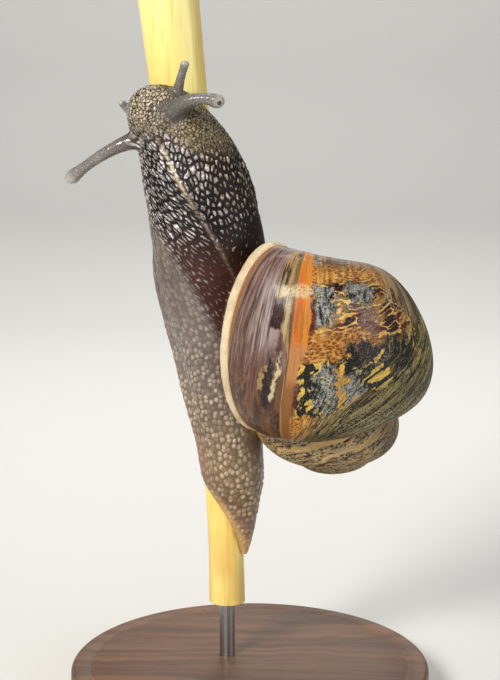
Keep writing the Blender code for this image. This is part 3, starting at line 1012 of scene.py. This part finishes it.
shellMarks = {  # turns are radians back from the mouth, around is degrees from the shoulder
    "upperBand": (-50, -15),  # around
    "lowerBand": (2, 39),
    "bandsFrom": 0.84,
    "stripFrom": 0.80,
    "rest": (0.715, 0.875),
    "newGrowth": 0.70,
    "newGrowthTop": 0.20,  # how much less it is at the top
    "greying": (1.50, 1.72),
    "weathered": (1.94, 2.14),
    "spire": (5.2, 6.2),
}
shellTones = tonesOf({
    "gold": (202, 150, 72),
    "amber": (162, 100, 40),
    "dot": (78, 46, 24),
    "paleFleck": (222, 186, 116),
    "orange": (202, 124, 36),
    "orangeDeep": (192, 98, 32),
    "orangePale": (178, 120, 72),
    "orangeLow": (134, 88, 44),
    "rust": (84, 24, 20),
    "lipTan": (150, 104, 68),
    "mauve": (144, 117, 108),
    "mauvePale": (160, 146, 142),
    "mauveDark": (78, 56, 52),
    "newRed": (80, 42, 28),
    "newBrown": (46, 22, 4),
    "stripTan": (158, 126, 80),
    "stripOlive": (92, 74, 44),
    "stripDark": (52, 32, 18),
    "plum": (46, 18, 20),
    "plumDark": (28, 12, 14),
    "black": (22, 20, 17),
    "dust": (168, 169, 160),
    "mauveDust": (124, 106, 98),
    "yellow": (206, 176, 84),
    "flame": (178, 138, 54),
    "cream": (206, 192, 146),
    "olive": (92, 80, 44),
    "oliveDark": (30, 24, 12),
    "chalk": (194, 187, 152),
    "oldChalk": (184, 168, 108),
    "spireBrown": (70, 42, 32),
    "spireCream": (216, 174, 112),
})
blots = {  # the large patches of the two bands: turn from and to, around from and to
    "dustyFirst": ((-1.16, -0.93), (-47, -22)),
    "dustySecond": ((-1.64, -1.33), (-47, -33)),
    "mauve": ((-1.60, -1.36), (-31, -18)),
    "yellowFirst": ((-1.32, -1.18), (-38, -27)),
    "dustyThird": ((-1.09, -0.95), (4, 36)),
    "dustyFourth": ((-1.30, -1.17), (9, 30)),
    "yellowSecond": ((-1.16, -1.11), (2, 30)),
    "blackFirst": ((-1.47, -1.20), (-9, 8)),
    "blackSecond": ((-1.92, -1.55), (-9, 12)),
    "blackThird": ((-1.34, -1.14), (-50, -38)),
    "blackFourth": ((-1.36, -1.28), (10, 30)),
    "topDust": ((-1.20, -0.88), (-82, -70)),
}


def shellPlaces(bench):  # where on the shell a point is, and the noises that its markings share
    place = objectPoint(bench)
    turn, around = bench.parts(attribute(bench, "coil", "Vector"))[:2]
    smear = bench.noise(place, 420, 3) - 0.5
    fray = bench.noise(place, 1100, 3) - 0.5
    growth = growthTurn(turn, around)

    def drawn(fine, spread, depth=0.0, detail=3, rough=0.5):  # noise drawn out along growth lines
        return bench.noise(bench.point(growth * fine, around * spread, depth), 1.0, detail, rough)

    def spots(fine, spread, sway):
        vector = bench.point(growth * fine + smear * sway, around * spread + smear * 5)
        return bench.cells(vector, 1.0, "F1", 1.0, True).out("Distance")

    flameAt = bench.point(growth * 15 + smear * 3, around * 0.13 + smear * 2, 1.0)
    spireAt = bench.point(growth * 3.2 + smear * 1.5, around * 0.035 + smear * 1.5, 21.0)
    patchAt = bench.point(growth * 4.5, around * 0.10 + smear, 9.0)
    return SimpleNamespace(
        paint=painter(bench, shellTones),
        around=around,
        back=-turn,
        growth=growth,
        smear=smear,
        frayTurn=growth + smear * 0.05 + fray * 0.03,  # the same places with ragged edges
        frayAround=around + smear * 12 + fray * 8,
        wornTurn=growth + smear * 0.12 + fray * 0.10,
        blotTurn=turn + smear * 0.25 + fray * 0.30,
        blotAround=around + smear * 22 + fray * 22,
        streaks=drawn(20, 0.022),
        lines=drawn(40, 0.03, 3.0, 3, 0.6),
        bars=drawn(12, 0.03, 13.0),
        wideBars=drawn(7, 0.025, 33.0, 2),
        smears=drawn(26, 0.12, 17.0, 3, 0.6),
        flakes=drawn(9, 0.05, 5.0, 4, 0.65),
        patches=bench.noise(patchAt, 1.0, 3),
        flames=bench.noise(flameAt, 1.0, 2.5),
        spireSpots=bench.noise(spireAt, 1.0, 3),
        grain=bench.noise(place, 2600, 3, 0.65),
        powder=bench.noise(place, 5200, 2, 0.6),
        dots=spots(23, 0.62, 3),
        dashes=spots(11, 0.50, 2),
    )


def goldGround(on):  # a fine network around dark dots
    return on.paint(
        "amber",
        (on.lines.rise(0.40, 0.60), "gold"),
        (on.frayTurn.rise(-1.25, -0.85) * on.patches.rise(0.35, 0.6) * 0.4, "orange"),
        # between the bands the ground turns amber: partly the shell's own colour, partly painted shade
        (on.around.within(-24, 6, 8) * 0.7, "amber"),
        ((1 - on.dots.rise(0.22, 0.46)) * on.patches.rise(0.34, 0.46) * 0.85, "dot"),
        (on.dots.rise(0.55, 0.75) * 0.4, "paleFleck"),
        ((1 - on.around.rise(-74, -54)) * (on.streaks.rise(0.44, 0.54) * 0.6 + 0.35), "dot"),
    )


def bandShares(on):  # how much a point is inside the upper and the lower dark band
    upperTop = shellMarks["upperBand"][0] + (on.back - 1.75).most(0.0) * 120
    upperLow = shellMarks["upperBand"][1] + (on.back - 1.45).most(0.0) * 45
    lowerTop = shellMarks["lowerBand"][0] - (on.back - 0.9).most(0.0) * 11
    lowerLow = shellMarks["lowerBand"][1] - (on.back - 1.0).rise(0.0, 0.3) * 14
    inUpper = (on.frayAround - upperTop).rise(-2, 3) * (1 - (on.frayAround - upperLow).rise(-6, 2))
    inLower = (on.frayAround - lowerTop).rise(-2, 2) * (1 - (on.frayAround - lowerLow).rise(-3, 3))
    return inUpper, inLower


def blot(on, name):
    (first, last), (left, right) = blots[name]
    return on.blotTurn.within(first, last, 0.03) * on.blotAround.within(left, right, 2.5)


def darkBands(on, tone, inUpper, inLower):
    rows = (1 - on.dashes.rise(0.50, 0.60)) * (0.55 + on.patches.rise(0.40, 0.48) * 0.45)
    rust = on.paint("rust", (on.bars.rise(0.50, 0.54) * 0.8, "black"))
    upperTone = on.paint("gold", (on.dots.rise(0.3, 0.6), "paleFleck"), (rows, rust))
    yellow = on.paint("flame", (on.dots.rise(0.2, 0.5), "yellow"))
    lowerTone = on.paint("black", (on.flames.rise(0.535, 0.56), yellow))
    start = on.frayTurn + shellMarks["bandsFrom"] + on.frayAround.rise(-5, 10) * -0.03
    beyond = 1 - start.rise(-0.01, 0.02)
    blackIn = blot(on, "blackFirst") + blot(on, "blackSecond") * 0.8
    blackIn = blackIn + (blot(on, "blackThird") + blot(on, "blackFourth")) * (1 - on.flames.rise(0.54, 0.57))
    cover = on.grain.rise(0.34, 0.60) * 0.6 + on.powder.rise(0.3, 0.7) * 0.4
    dust = on.paint("black", (cover * on.smears.rise(0.36, 0.56), "dust"))
    dusty = ("dustyFirst", "dustySecond", "dustyThird", "dustyFourth")
    return on.paint(
        tone,
        (inUpper * beyond, upperTone),
        (inLower * beyond, lowerTone),
        (blackIn * beyond, "black"),
        *((blot(on, name), dust) for name in dusty),
        (blot(on, "topDust") * 0.6, dust),
        (blot(on, "mauve") * 0.85, on.paint("rust", (on.powder.rise(0.30, 0.65), "mauveDust"))),
        (blot(on, "yellowFirst") * (1 - rows * 0.7), "paleFleck"),
        (blot(on, "yellowSecond") * 0.8, "gold"),
    )


def oldSide(on, tone, old, age, banded, inLower):  # weathered, with strong growth lines
    curved = on.paint(
        "oliveDark",
        (on.wideBars.rise(0.48, 0.51), "stripTan"),
        (on.lines.rise(0.54, 0.60) * 0.6, "chalk"),
    )
    broken = on.lines.rise(0.52, 0.56) * on.smears.rise(0.47, 0.55)
    oldTone = on.paint(
        "olive",
        (on.patches.rise(0.4, 0.6), "stripTan"),
        (on.lines.rise(0.50, 0.55) * 0.6, "flame"),
        (on.bars.rise(0.47, 0.50) * 0.95, "oliveDark"),
        (on.bars.rise(0.38, 0.43) * (1 - on.bars.rise(0.45, 0.48)) * 0.9, "oldChalk"),
        ((1 - on.lines).rise(0.52, 0.60) * 0.7, "oliveDark"),
        (on.powder.rise(0.56, 0.64) * on.patches.rise(0.46, 0.56) * 0.8, "chalk"),
        # darker towards the older whorls and the lower side: partly the shell's own olive, partly painted
        # shade
        (on.back.rise(1.5, 2.2) * on.around.rise(-40, 30) * 0.35, "oliveDark"),
        (on.wideBars.rise(0.50, 0.53) * 0.85, "oliveDark"),
        ((1 - on.wideBars.rise(0.40, 0.44)) * on.grain.rise(0.36, 0.56) * 0.7, "oldChalk"),
        # darker on the lower side of the whorl: partly the shell's own olive, partly painted shade away from
        # the light
        (on.around.rise(-4, 24) * 0.55, "oliveDark"),
        (broken * on.around.rise(-30, 10) * 0.75, "oldChalk"),
    )
    lowest = on.around.rise(30, 44) * on.back.rise(0.80, 0.90) * (1 - old)
    return on.paint(
        tone,
        (age.rise(*shellMarks["greying"]) * (1 - banded) * 0.8, curved),
        (old * (1 - inLower * 0.35), oldTone),
        (lowest * on.wideBars.rise(0.49, 0.52) * 0.85, "oliveDark"),
        (lowest * on.smears.rise(0.54, 0.60) * 0.8, "oldChalk"),
    )


def lastRest(on, tone, upper):  # a streaked strip, then an orange line that fades to brown
    stripTone = on.paint(
        "stripDark",
        (on.lines.rise(0.42, 0.50), "stripTan"),
        ((-on.frayTurn).rise(0.64, 0.68) * upper * 0.8, "stripOlive"),
    )
    restTone = on.paint(
        "orange",
        (on.around.rise(-75, -40), on.paint("orange", (on.frayTurn.rise(-0.83, -0.76), "orangeDeep"))),
        (on.around.rise(-14, -2), "orangePale"),
        (on.around.rise(8, 20), "orangeLow"),
        ((1 - on.lines).rise(0.50, 0.60) * 0.6, "orangeLow"),
    )
    start, end = shellMarks["rest"]
    restEnd = on.around.rise(-60, 25) * 0.085 - end + on.smear * 0.08
    restEnd = restEnd - on.frayAround.within(-32, -1, 8) * 0.04
    restIn = (on.frayTurn - restEnd).rise(-0.008, 0.008) * (1 - (on.growth + start).rise(-0.01, 0.012))
    redEdge = (on.frayTurn - restEnd).within(-0.045, 0.0, 0.01)
    redEdge = redEdge * (on.frayAround.within(-36, -16, 3) + on.frayAround.within(14, 38, 3) * 0.8)
    return on.paint(
        tone,
        ((on.growth + shellMarks["stripFrom"]).rise(-0.01, 0.01), stripTone),
        (restIn, restTone),
        (redEdge * 0.9, "rust"),
    )


def newGrowth(on, tone, young):  # behind the lip
    middle = on.around.within(-50, -2, 14) * on.frayTurn.within(-0.56, -0.34, 0.08)
    lowTan = on.around.rise(0, 20) * on.smears.rise(0.54, 0.60) * on.frayTurn.rise(-0.5, -0.3)
    darkLine = (on.wornTurn + on.around * -0.0006).within(-0.605, -0.53, 0.010) * on.blotAround.rise(-12, 4)
    newTone = on.paint(
        "mauveDark",
        (on.streaks.rise(0.40, 0.60), "mauve"),
        (middle * on.lines.rise(0.40, 0.58) * 0.9, "mauvePale"),
        (on.around.rise(-12, 14) * 0.85, "newRed"),
        (on.around.rise(8, 34) * 0.85, "newBrown"),
        (on.around.rise(8, 30) * on.wideBars.rise(0.47, 0.53) * 0.5, "orangeLow"),
        (on.bars.rise(0.50, 0.56) * 0.5, "newRed"),
        (on.lines.rise(0.56, 0.64) * (0.35 - on.around.rise(0, 30) * 0.25), "mauvePale"),
        (lowTan * 0.5, "lipTan"),
        (darkLine * (1 - on.blotAround.rise(34, 42)), "plumDark"),
        (on.growth.rise(-0.108, -0.096) * 0.75, "lipTan"),
        (on.frayTurn.within(-0.130, -0.110, 0.006) * 0.6, "newBrown"),
    )
    plumSpot = on.frayTurn.within(-0.615, -0.50, 0.006) * on.frayAround.within(-37, -18, 1.2)
    curve = on.wornTurn + on.around * on.around * -0.00006
    paleStreak = curve.within(-0.655, -0.625, 0.010) * on.blotAround.within(-2, 28, 3)
    topStreak = on.frayTurn.within(-0.67, -0.63, 0.01) * on.frayAround.within(-34, -14, 4)
    blotch = on.wornTurn.within(-0.52, -0.47, 0.008) * on.blotAround.within(8, 20, 1.5)
    # a pale patch on the upper side: partly real wear, partly a painted highlight
    wornPatchAndHighlight = on.frayTurn.within(-0.90, -0.55, 0.04) * on.frayAround.within(-46, -38, 2)
    return on.paint(
        tone,
        (young, newTone),
        (plumSpot, "plum"),
        ((paleStreak + topStreak * 0.5) * 0.85, "cream"),
        (blotch * 0.85, "stripTan"),
        (wornPatchAndHighlight * on.grain.rise(0.40, 0.5) * 0.7, "cream"),
    )


def chalkShare(on):  # worn patches
    chalk = on.flakes.rise(0.52, 0.62) * on.grain.rise(0.46, 0.58) * (0.10 + on.back.rise(1.2, 2.0) * 0.5)
    low = on.around.rise(22, 50) * on.back.rise(0.9, 1.3) * on.grain.rise(0.50, 0.62)
    chalk = (chalk + low * 0.35).least(1.0)
    return (chalk + on.powder.rise(0.62, 0.66) * (0.12 + on.back.rise(0.7, 1.3) * 0.24)).least(1.0)


def spireTone(on):
    return on.paint(
        "spireBrown",
        (on.spireSpots.rise(0.51, 0.58), "spireCream"),
        ((1 - on.back.rise(5.9, 6.5)) * 0.7, "gold"),
        ((on.around + on.smear * 20).rise(42, 52) * 0.8, "spireBrown"),
        (on.lines.rise(0.52, 0.60) * 0.6, "spireBrown"),
        (on.grain.rise(0.42, 0.58) * on.flakes.rise(0.42, 0.52) * 0.75, "chalk"),
        (on.flames.rise(0.52, 0.56) * 0.6, "spireCream"),
        (on.back.rise(7.5, 8.3) * (1 - on.back.rise(9.5, 11.0)) * 0.55, "oliveDark"),
    )


def shellMaterial():
    finish, bench, shader = newMaterial("bandedShell", Coat_Roughness=0.12, Specular_IOR_Level=0.20)
    on = shellPlaces(bench)
    inUpper, inLower = bandShares(on)
    age = (on.around - 10).most(0.0) * 0.015 - on.frayTurn
    old = age.rise(*shellMarks["weathered"])
    upper = 1 - on.around.rise(-35, 0)
    newFrom = upper * shellMarks["newGrowthTop"] - shellMarks["newGrowth"]
    young = (on.growth - newFrom).rise(-0.008, 0.008)
    chalk = chalkShare(on)
    tone = darkBands(on, goldGround(on), inUpper, inLower)
    tone = oldSide(on, tone, old, age, (inUpper + inLower).least(1.0), inLower)
    tone = newGrowth(on, lastRest(on, tone, upper), young)
    tone = on.paint(
        tone,
        (chalk, on.paint("chalk", (on.back.rise(1.6, 2.2), "oldChalk"))),
        (on.back.rise(*shellMarks["spire"]), spireTone(on)),
    )
    height = on.streaks * 0.7 + on.lines * (0.5 + old * 0.6) + on.grain * 0.14
    rough = 0.32 + chalk * 0.3 + on.grain * 0.12 + old * 0.18
    coat = (1 - chalk) * (0.14 + young * 0.14 - old * 0.1)
    feed(bench, shader, Base_Color=tone, Roughness=rough, Coat_Weight=coat)
    feed(bench, shader, Normal=bumpOf(bench, height, 0.17 * mm))
    return finish


def makeShell():
    values = {
        "Growth Rate": math.log(shell["growth"]) / tau,
        "Squeeze Start": shell["squeezeTurns"][0],
        "Squeeze End": shell["squeezeTurns"][1],
        "First Turn": -shell["whorls"] * tau,
        "Last Turn": shell["mouthTurn"],
        "Tilt": shell["turn"],
        "Axis": tuple(coilAxis),
        "Out": tuple(coilOut),
        "On": tuple(coilOn),
        "Material": shellMaterial(),
    }
    shared = ("slowing", "slowingSpan", "halfWidth", "halfHeight", "offset", "fall", "swell", "dome",
              "drop", "dropRate", "lean", "squeeze", "shift", "shiftPower", "apex", "innerDepth", "relief")
    values.update({titleOf(name): shell[name] for name in shared})
    values.update({titleOf(name): count for name, count in shellMesh.items()})
    coiled = grow("shellWhorls", shellTree(values), values)
    turnOut(coiled)
    coiled.data.shade_smooth()
    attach(coiled, "root")
    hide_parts("shell")
    print("shell made,", len(coiled.data.polygons), "faces")


makeShell()


pillar = {  # fills the hollow on the axis: distance from the apex and radius
    "sections": ((-16.0, 3.4), (-20.0, 4.2), (-24.0, 4.9), (-27.0, 5.3), (-29.5, 5.1), (-31.2, 4.2),
                 (-32.2, 2.8), (-32.6, 1.2)),
    "shiftSpan": 20.0,  # distance along the axis where the early whorls' shift has died away
    "sides": 72,
    "step": 0.2,
    "pale": srgb(196, 172, 128),
    "brown": srgb(134, 104, 66),
    "stain": srgb(92, 70, 44),
}


def pillarRings():
    rings = []
    angles = anglesAround(pillar["sides"])
    around = circle(angles, coilOut, coilOn)
    table = pillar["sections"][::-1]
    for along in np.arange(table[0][0], table[-1][0] + 0.01, pillar["step"]):
        radius = between(table, along)[0]
        fade = max(0.0, 1 + along / pillar["shiftSpan"]) ** shell["shiftPower"]
        centre = np.array(shell["apex"]) + along * coilAxis + fade * np.array(shell["shift"])
        wave = 1 + 0.03 * np.sin(angles * 9 + along) + 0.015 * np.sin(angles * 31)
        rings.append(centre + around * (radius * wave)[:, None])
    return rings


def pillarMaterial():
    finish, bench, shader = newMaterial("shellPillar", Coat_Weight=0.15, Coat_Roughness=0.25)
    place = objectPoint(bench)
    broad = bench.noise(place, 320, 3)
    grain = bench.noise(place, 2600, 3)
    paint = painter(bench, pillar)
    tone = paint("pale", (broad.rise(0.35, 0.6), "brown"), (grain.rise(0.5, 0.66) * 0.5, "stain"))
    feed(bench, shader, Base_Color=tone, Roughness=0.4 + grain * 0.2)
    feed(bench, shader, Normal=bumpOf(bench, grain, 0.06 * mm))
    return finish


def makePillar():
    piece = loft("shellPillar", pillarRings(), [pillarMaterial()])
    piece.data.shade_smooth()
    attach(piece, "root")
    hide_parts("shell")
    print("pillar made")


makePillar()


# the shell's rolled lip

lip = {
    "from": -128.0,
    "to": 93.0,
    "steps": 260,
    "sides": 20,
    "halfWidth": 0.84,  # mm, along the growth
    "halfThick": 0.46,
    "turn": -0.035,
    "fade": 0.30,  # share of its length over which an end thins out
    "cream": srgb(222, 204, 166),
    "tan": srgb(200, 178, 136),
    "edge": srgb(180, 124, 72),
    "stain": srgb(176, 142, 98),
    "pit": srgb(240, 230, 204),
}


def lipRings():
    rings = []
    angles = np.radians(np.linspace(lip["from"], lip["to"], lip["steps"]))
    for i, around in enumerate(angles):
        share = i / (lip["steps"] - 1)
        fade = math.sin(math.pi * min(1.0, min(share, 1 - share) / lip["fade"]) / 2) ** 0.8
        here = np.array([around])
        turn = np.array([lip["turn"]])
        centre = coilPoint(turn, here)[0]
        onward = coilPoint(turn + 0.01, here)[0] - coilPoint(turn - 0.01, here)[0]
        onward /= np.linalg.norm(onward)
        away = coilPoint(turn, here, 1.05)[0] - coilPoint(turn, here, 0.95)[0]
        away -= onward * away.dot(onward)
        away /= np.linalg.norm(away)
        wave = 1 + 0.06 * math.sin(around * 23) + 0.05 * math.sin(around * 41 + 1)
        wide = lip["halfWidth"] * (0.25 + 0.75 * fade) * (1 + 0.04 * math.sin(around * 9))
        thick = lip["halfThick"] * (0.35 + 0.65 * fade) * wave
        turns = anglesAround(lip["sides"])
        flare = wide * 0.32 * np.cos(turns)
        ring = centre + onward * (wide * np.cos(turns))[:, None]
        ring = ring + away * (thick * np.sin(turns) * (1 + 0.25 * np.cos(turns)) + flare - 0.1)[:, None]
        rings.append(ring)
    return rings


def lipMaterial():
    finish, bench, shader = newMaterial("creamLip", Coat_Roughness=0.25, Coat_Weight=0.15)
    place = objectPoint(bench)
    grain = bench.noise(place, 2600, 3)
    broad = bench.noise(place, 380, 2)
    across = attribute(bench, "acrossLip")
    pits = bench.noise(place, 5200, 2, 0.6)
    tone = painter(bench, lip)(
        "cream",
        (broad.rise(0.35, 0.65), "tan"),
        # the lip's inner side, towards the shell, turns orange-brown: partly its own seam colour, partly
        # painted shade on the side turned from the light
        ((-across).rise(0.45, 0.9) * 0.9, "edge"),
        (grain.rise(0.55, 0.7) * 0.5, "stain"),
        (pits.rise(0.54, 0.64) * 0.35, "pit"),
    )
    feed(bench, shader, Base_Color=tone, Roughness=0.42 + grain * 0.2)
    feed(bench, shader, Normal=bumpOf(bench, grain + broad * 0.5 + pits * 0.5, 0.10 * mm))
    return finish


def makeLip():
    piece = loft("shellLipRoll", lipRings(), [lipMaterial()])
    across = np.tile(np.cos(anglesAround(lip["sides"])), lip["steps"])
    values = np.concatenate([across, [0.0, 0.0]])  # the two hubs come last
    storeFields(piece, {"acrossLip": values})
    piece.data.shade_smooth()
    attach(piece, "root")
    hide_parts("shell_lip")
    print("lip made")


makeLip()


# eyes

eyes = {
    "radius": 0.33,
    "depth": 0.22,
    "rows": 12,
    "sides": 28,
    "sunk": 0.12,
    "back": 0.8 / 9.0,  # share of the feeler behind its tip, for each mm of the bulb
    "dark": srgb(26, 18, 14),
    "speck": srgb(48, 34, 26),
}


def eyeFinish():
    finish, bench, shader = newMaterial("darkEye", Roughness=0.12, Coat_Weight=0.8, Coat_Roughness=0.05)
    speck = bench.noise(objectPoint(bench), 5200, 2)
    feed(bench, shader, Base_Color=bench.mix(speck.rise(0.4, 0.6), eyes["dark"], eyes["speck"]))
    return finish


eyeMaterial = eyeFinish()


def makeEye(name, node, route, look):
    ahead = np.array(look) / np.linalg.norm(look)
    bulb = route[6]
    centre = bend(route, 1 - bulb * eyes["back"]) + ahead * (bulb - eyes["sunk"])
    flat = circle(anglesAround(eyes["sides"]), *crossAxes(ahead))
    rings = []
    for i in range(1, eyes["rows"]):
        level = math.pi * i / eyes["rows"]
        spread = eyes["radius"] * math.sin(level) ** 0.8
        step = -eyes["depth"] * math.cos(level)
        rings.append(centre + ahead * step + flat * spread)
    piece = loft(name, rings, [eyeMaterial])
    piece.data.shade_smooth()
    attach(piece, "root")
    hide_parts(node)


makeEye("eyeRight", "eye_right", feelers["upperRight"], (0.35, -0.9, -0.25))
makeEye("eyeLeft", "eye_left", feelers["upperLeft"], (-0.75, -0.45, -0.5))
print("eyes made")


# stem

stemLook = {
    "sides": 96,
    "step": 0.5,
    "ribs": ((17, 0.0, 0.02, 0.6), (7, 1.3, 0.03, 0.8), (29, -0.5, 0.0, 0.3)),  # count, start, twist, size
    "ribDepth": 0.05,
    "inset": 0.09,
    "cut": ((0.97, 0.0), (0.86, 0.02), (0.74, 0.10), (0.5, 0.16), (0.25, 0.14)),  # size, mm inwards
    "straw": srgb(250, 230, 132),
    "deepStraw": srgb(246, 210, 104),
    "pale": srgb(252, 246, 186),
    "tan": srgb(226, 176, 88),
    "shadySide": srgb(214, 146, 52),
    "fibre": srgb(214, 158, 70),
}


def stemRings():
    low, high = stem["sections"][0][0], stem["sections"][-1][0]
    angles = anglesAround(stemLook["sides"])
    rings = []
    for height in np.arange(low, high + 0.01, stemLook["step"]):
        x, y, radius = between(stem["sections"], height)
        ribs = sum(np.cos(angles * count + start + twist * height) * size
                   for count, start, twist, size in stemLook["ribs"])
        spread = radius - stemLook["inset"] + stemLook["ribDepth"] * ribs / 1.7
        rings.append(np.stack([x + spread * np.cos(angles), y + spread * np.sin(angles),
                               np.full(len(angles), height)], 1))
    # cut ends: a soft rim, then the pith inwards
    for last, sign in ((-1, 1), (0, -1)):
        edge = rings[last]
        centre = edge.mean(axis=0)
        extra = [centre + (edge - centre) * size - np.array([0, 0, sign * sink])
                 for size, sink in stemLook["cut"]]
        rings = rings + extra if sign > 0 else extra[::-1] + rings
    return rings


def stemMaterial():
    finish, bench, shader = newMaterial("dryStem", Coat_Weight=0.25, Coat_Roughness=0.2)
    place = objectPoint(bench)
    x, y, z = bench.parts(place)
    along = bench.noise(bench.point(x * 2200, y * 2200, z * 90), 1.0, 3)
    broad = bench.noise(bench.point(x * 260, y * 260, z * 60), 1.0, 3)
    edge = x - (z * -0.092 + 0.0005)
    tone = painter(bench, stemLook)(
        "straw",
        (broad.rise(0.35, 0.65), "deepStraw"),
        # paler towards the top: partly the stem's own paler tone, partly painted light on its brightly lit
        # top
        (z.rise(0.085, 0.115) * 0.5, "pale"),
        ((1 - z.rise(0.018, 0.034)) * broad.rise(0.3, 0.6) * 0.7, "tan"),
        (edge.rise(0.0, 0.0045) * 0.85, "shadySide"),
        (along.rise(0.55, 0.75) * 0.35, "fibre"),
    )
    feed(bench, shader, Base_Color=tone, Roughness=0.42 + along * 0.15)
    feed(bench, shader, Normal=bumpOf(bench, along, 0.05 * mm))
    return finish


def makeStem():
    piece = loft("dryStem", stemRings(), [stemMaterial()])
    piece.data.shade_smooth()
    piece.data.set_sharp_from_angle(angle=math.radians(50))
    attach(piece, "root")
    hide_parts("perch_stem")
    print("stem made")


makeStem()


# stand

stand = {
    "radius": 28.0,
    "height": 5.0,
    "bevel": 0.8,
    "foot": 0.3,  # mm, the small slope under the rim
    "groove": ((2.6, 0.0), (2.9, 0.18), (3.3, 0.18), (3.6, 0.0)),  # mm from the rim and down
    "sides": 144,
    "light": srgb(122, 84, 54),
    "dark": srgb(92, 60, 38),
    "pore": srgb(58, 36, 24),
    "steel": srgb(190, 190, 192),
    "greySteel": srgb(160, 160, 164),
}


def woodFinish():
    finish, bench, shader = newMaterial("standWood", Coat_Weight=0.2, Coat_Roughness=0.3)
    place = objectPoint(bench)
    x, y, z = bench.parts(place)
    warp = bench.noise(place, 60, 2)
    rings = bench.noise(bench.point(x * 25, y * 420 + warp * 3, z * 420), 1.0, 3)
    pores = bench.noise(bench.point(x * 200, y * 3600, z * 3600), 1.0, 2)
    tone = painter(bench, stand)(
        "light", (rings.rise(0.35, 0.65), "dark"), (pores.rise(0.6, 0.72) * 0.6, "pore"))
    feed(bench, shader, Base_Color=tone, Roughness=0.4 + pores * 0.2)
    feed(bench, shader, Normal=bumpOf(bench, -pores, 0.05 * mm))
    return finish


def steelFinish():
    finish, bench, shader = newMaterial("standSteel", Metallic=1.0)
    x, y, z = bench.parts(objectPoint(bench))
    brush = bench.noise(bench.point(x * 400, y * 400, z * 30000), 1.0, 2)
    tone = bench.mix(brush.rise(0.3, 0.7), stand["steel"], stand["greySteel"])
    feed(bench, shader, Base_Color=tone, Roughness=0.24 + brush * 0.16)
    return finish


def makeStand():
    wide, high, soft, foot = (stand[name] for name in ("radius", "height", "bevel", "foot"))
    profile = [(wide * 0.3, 0.0), (wide * 0.7, 0.0), (wide - foot, 0.0), (wide, foot), (wide, high - soft)]
    for level in np.radians(np.linspace(90 / 8, 90, 8)):
        profile.append((wide - soft + soft * math.cos(level), high - soft + soft * math.sin(level)))
    profile += [(wide - inwards, high - deep) for inwards, deep in stand["groove"]]
    profile += [(wide * 0.6, high), (wide * 0.3, high)]
    angles = anglesAround(stand["sides"])
    rings = [np.stack([r * np.cos(angles), r * np.sin(angles), np.full(len(angles), z)], 1)
             for r, z in profile]
    base = loft("turnedBase", rings, [woodFinish()])
    base.data.shade_smooth()
    base.data.set_sharp_from_angle(angle=math.radians(35))
    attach(base, "root")
    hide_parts("stand_base")
    steel = steelFinish()
    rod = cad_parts["stand_rod"]
    if not rod.material_slots:
        rod.data.materials.append(steel)
    for place in rod.material_slots:
        place.material = steel
    print("stand made")


makeStand()
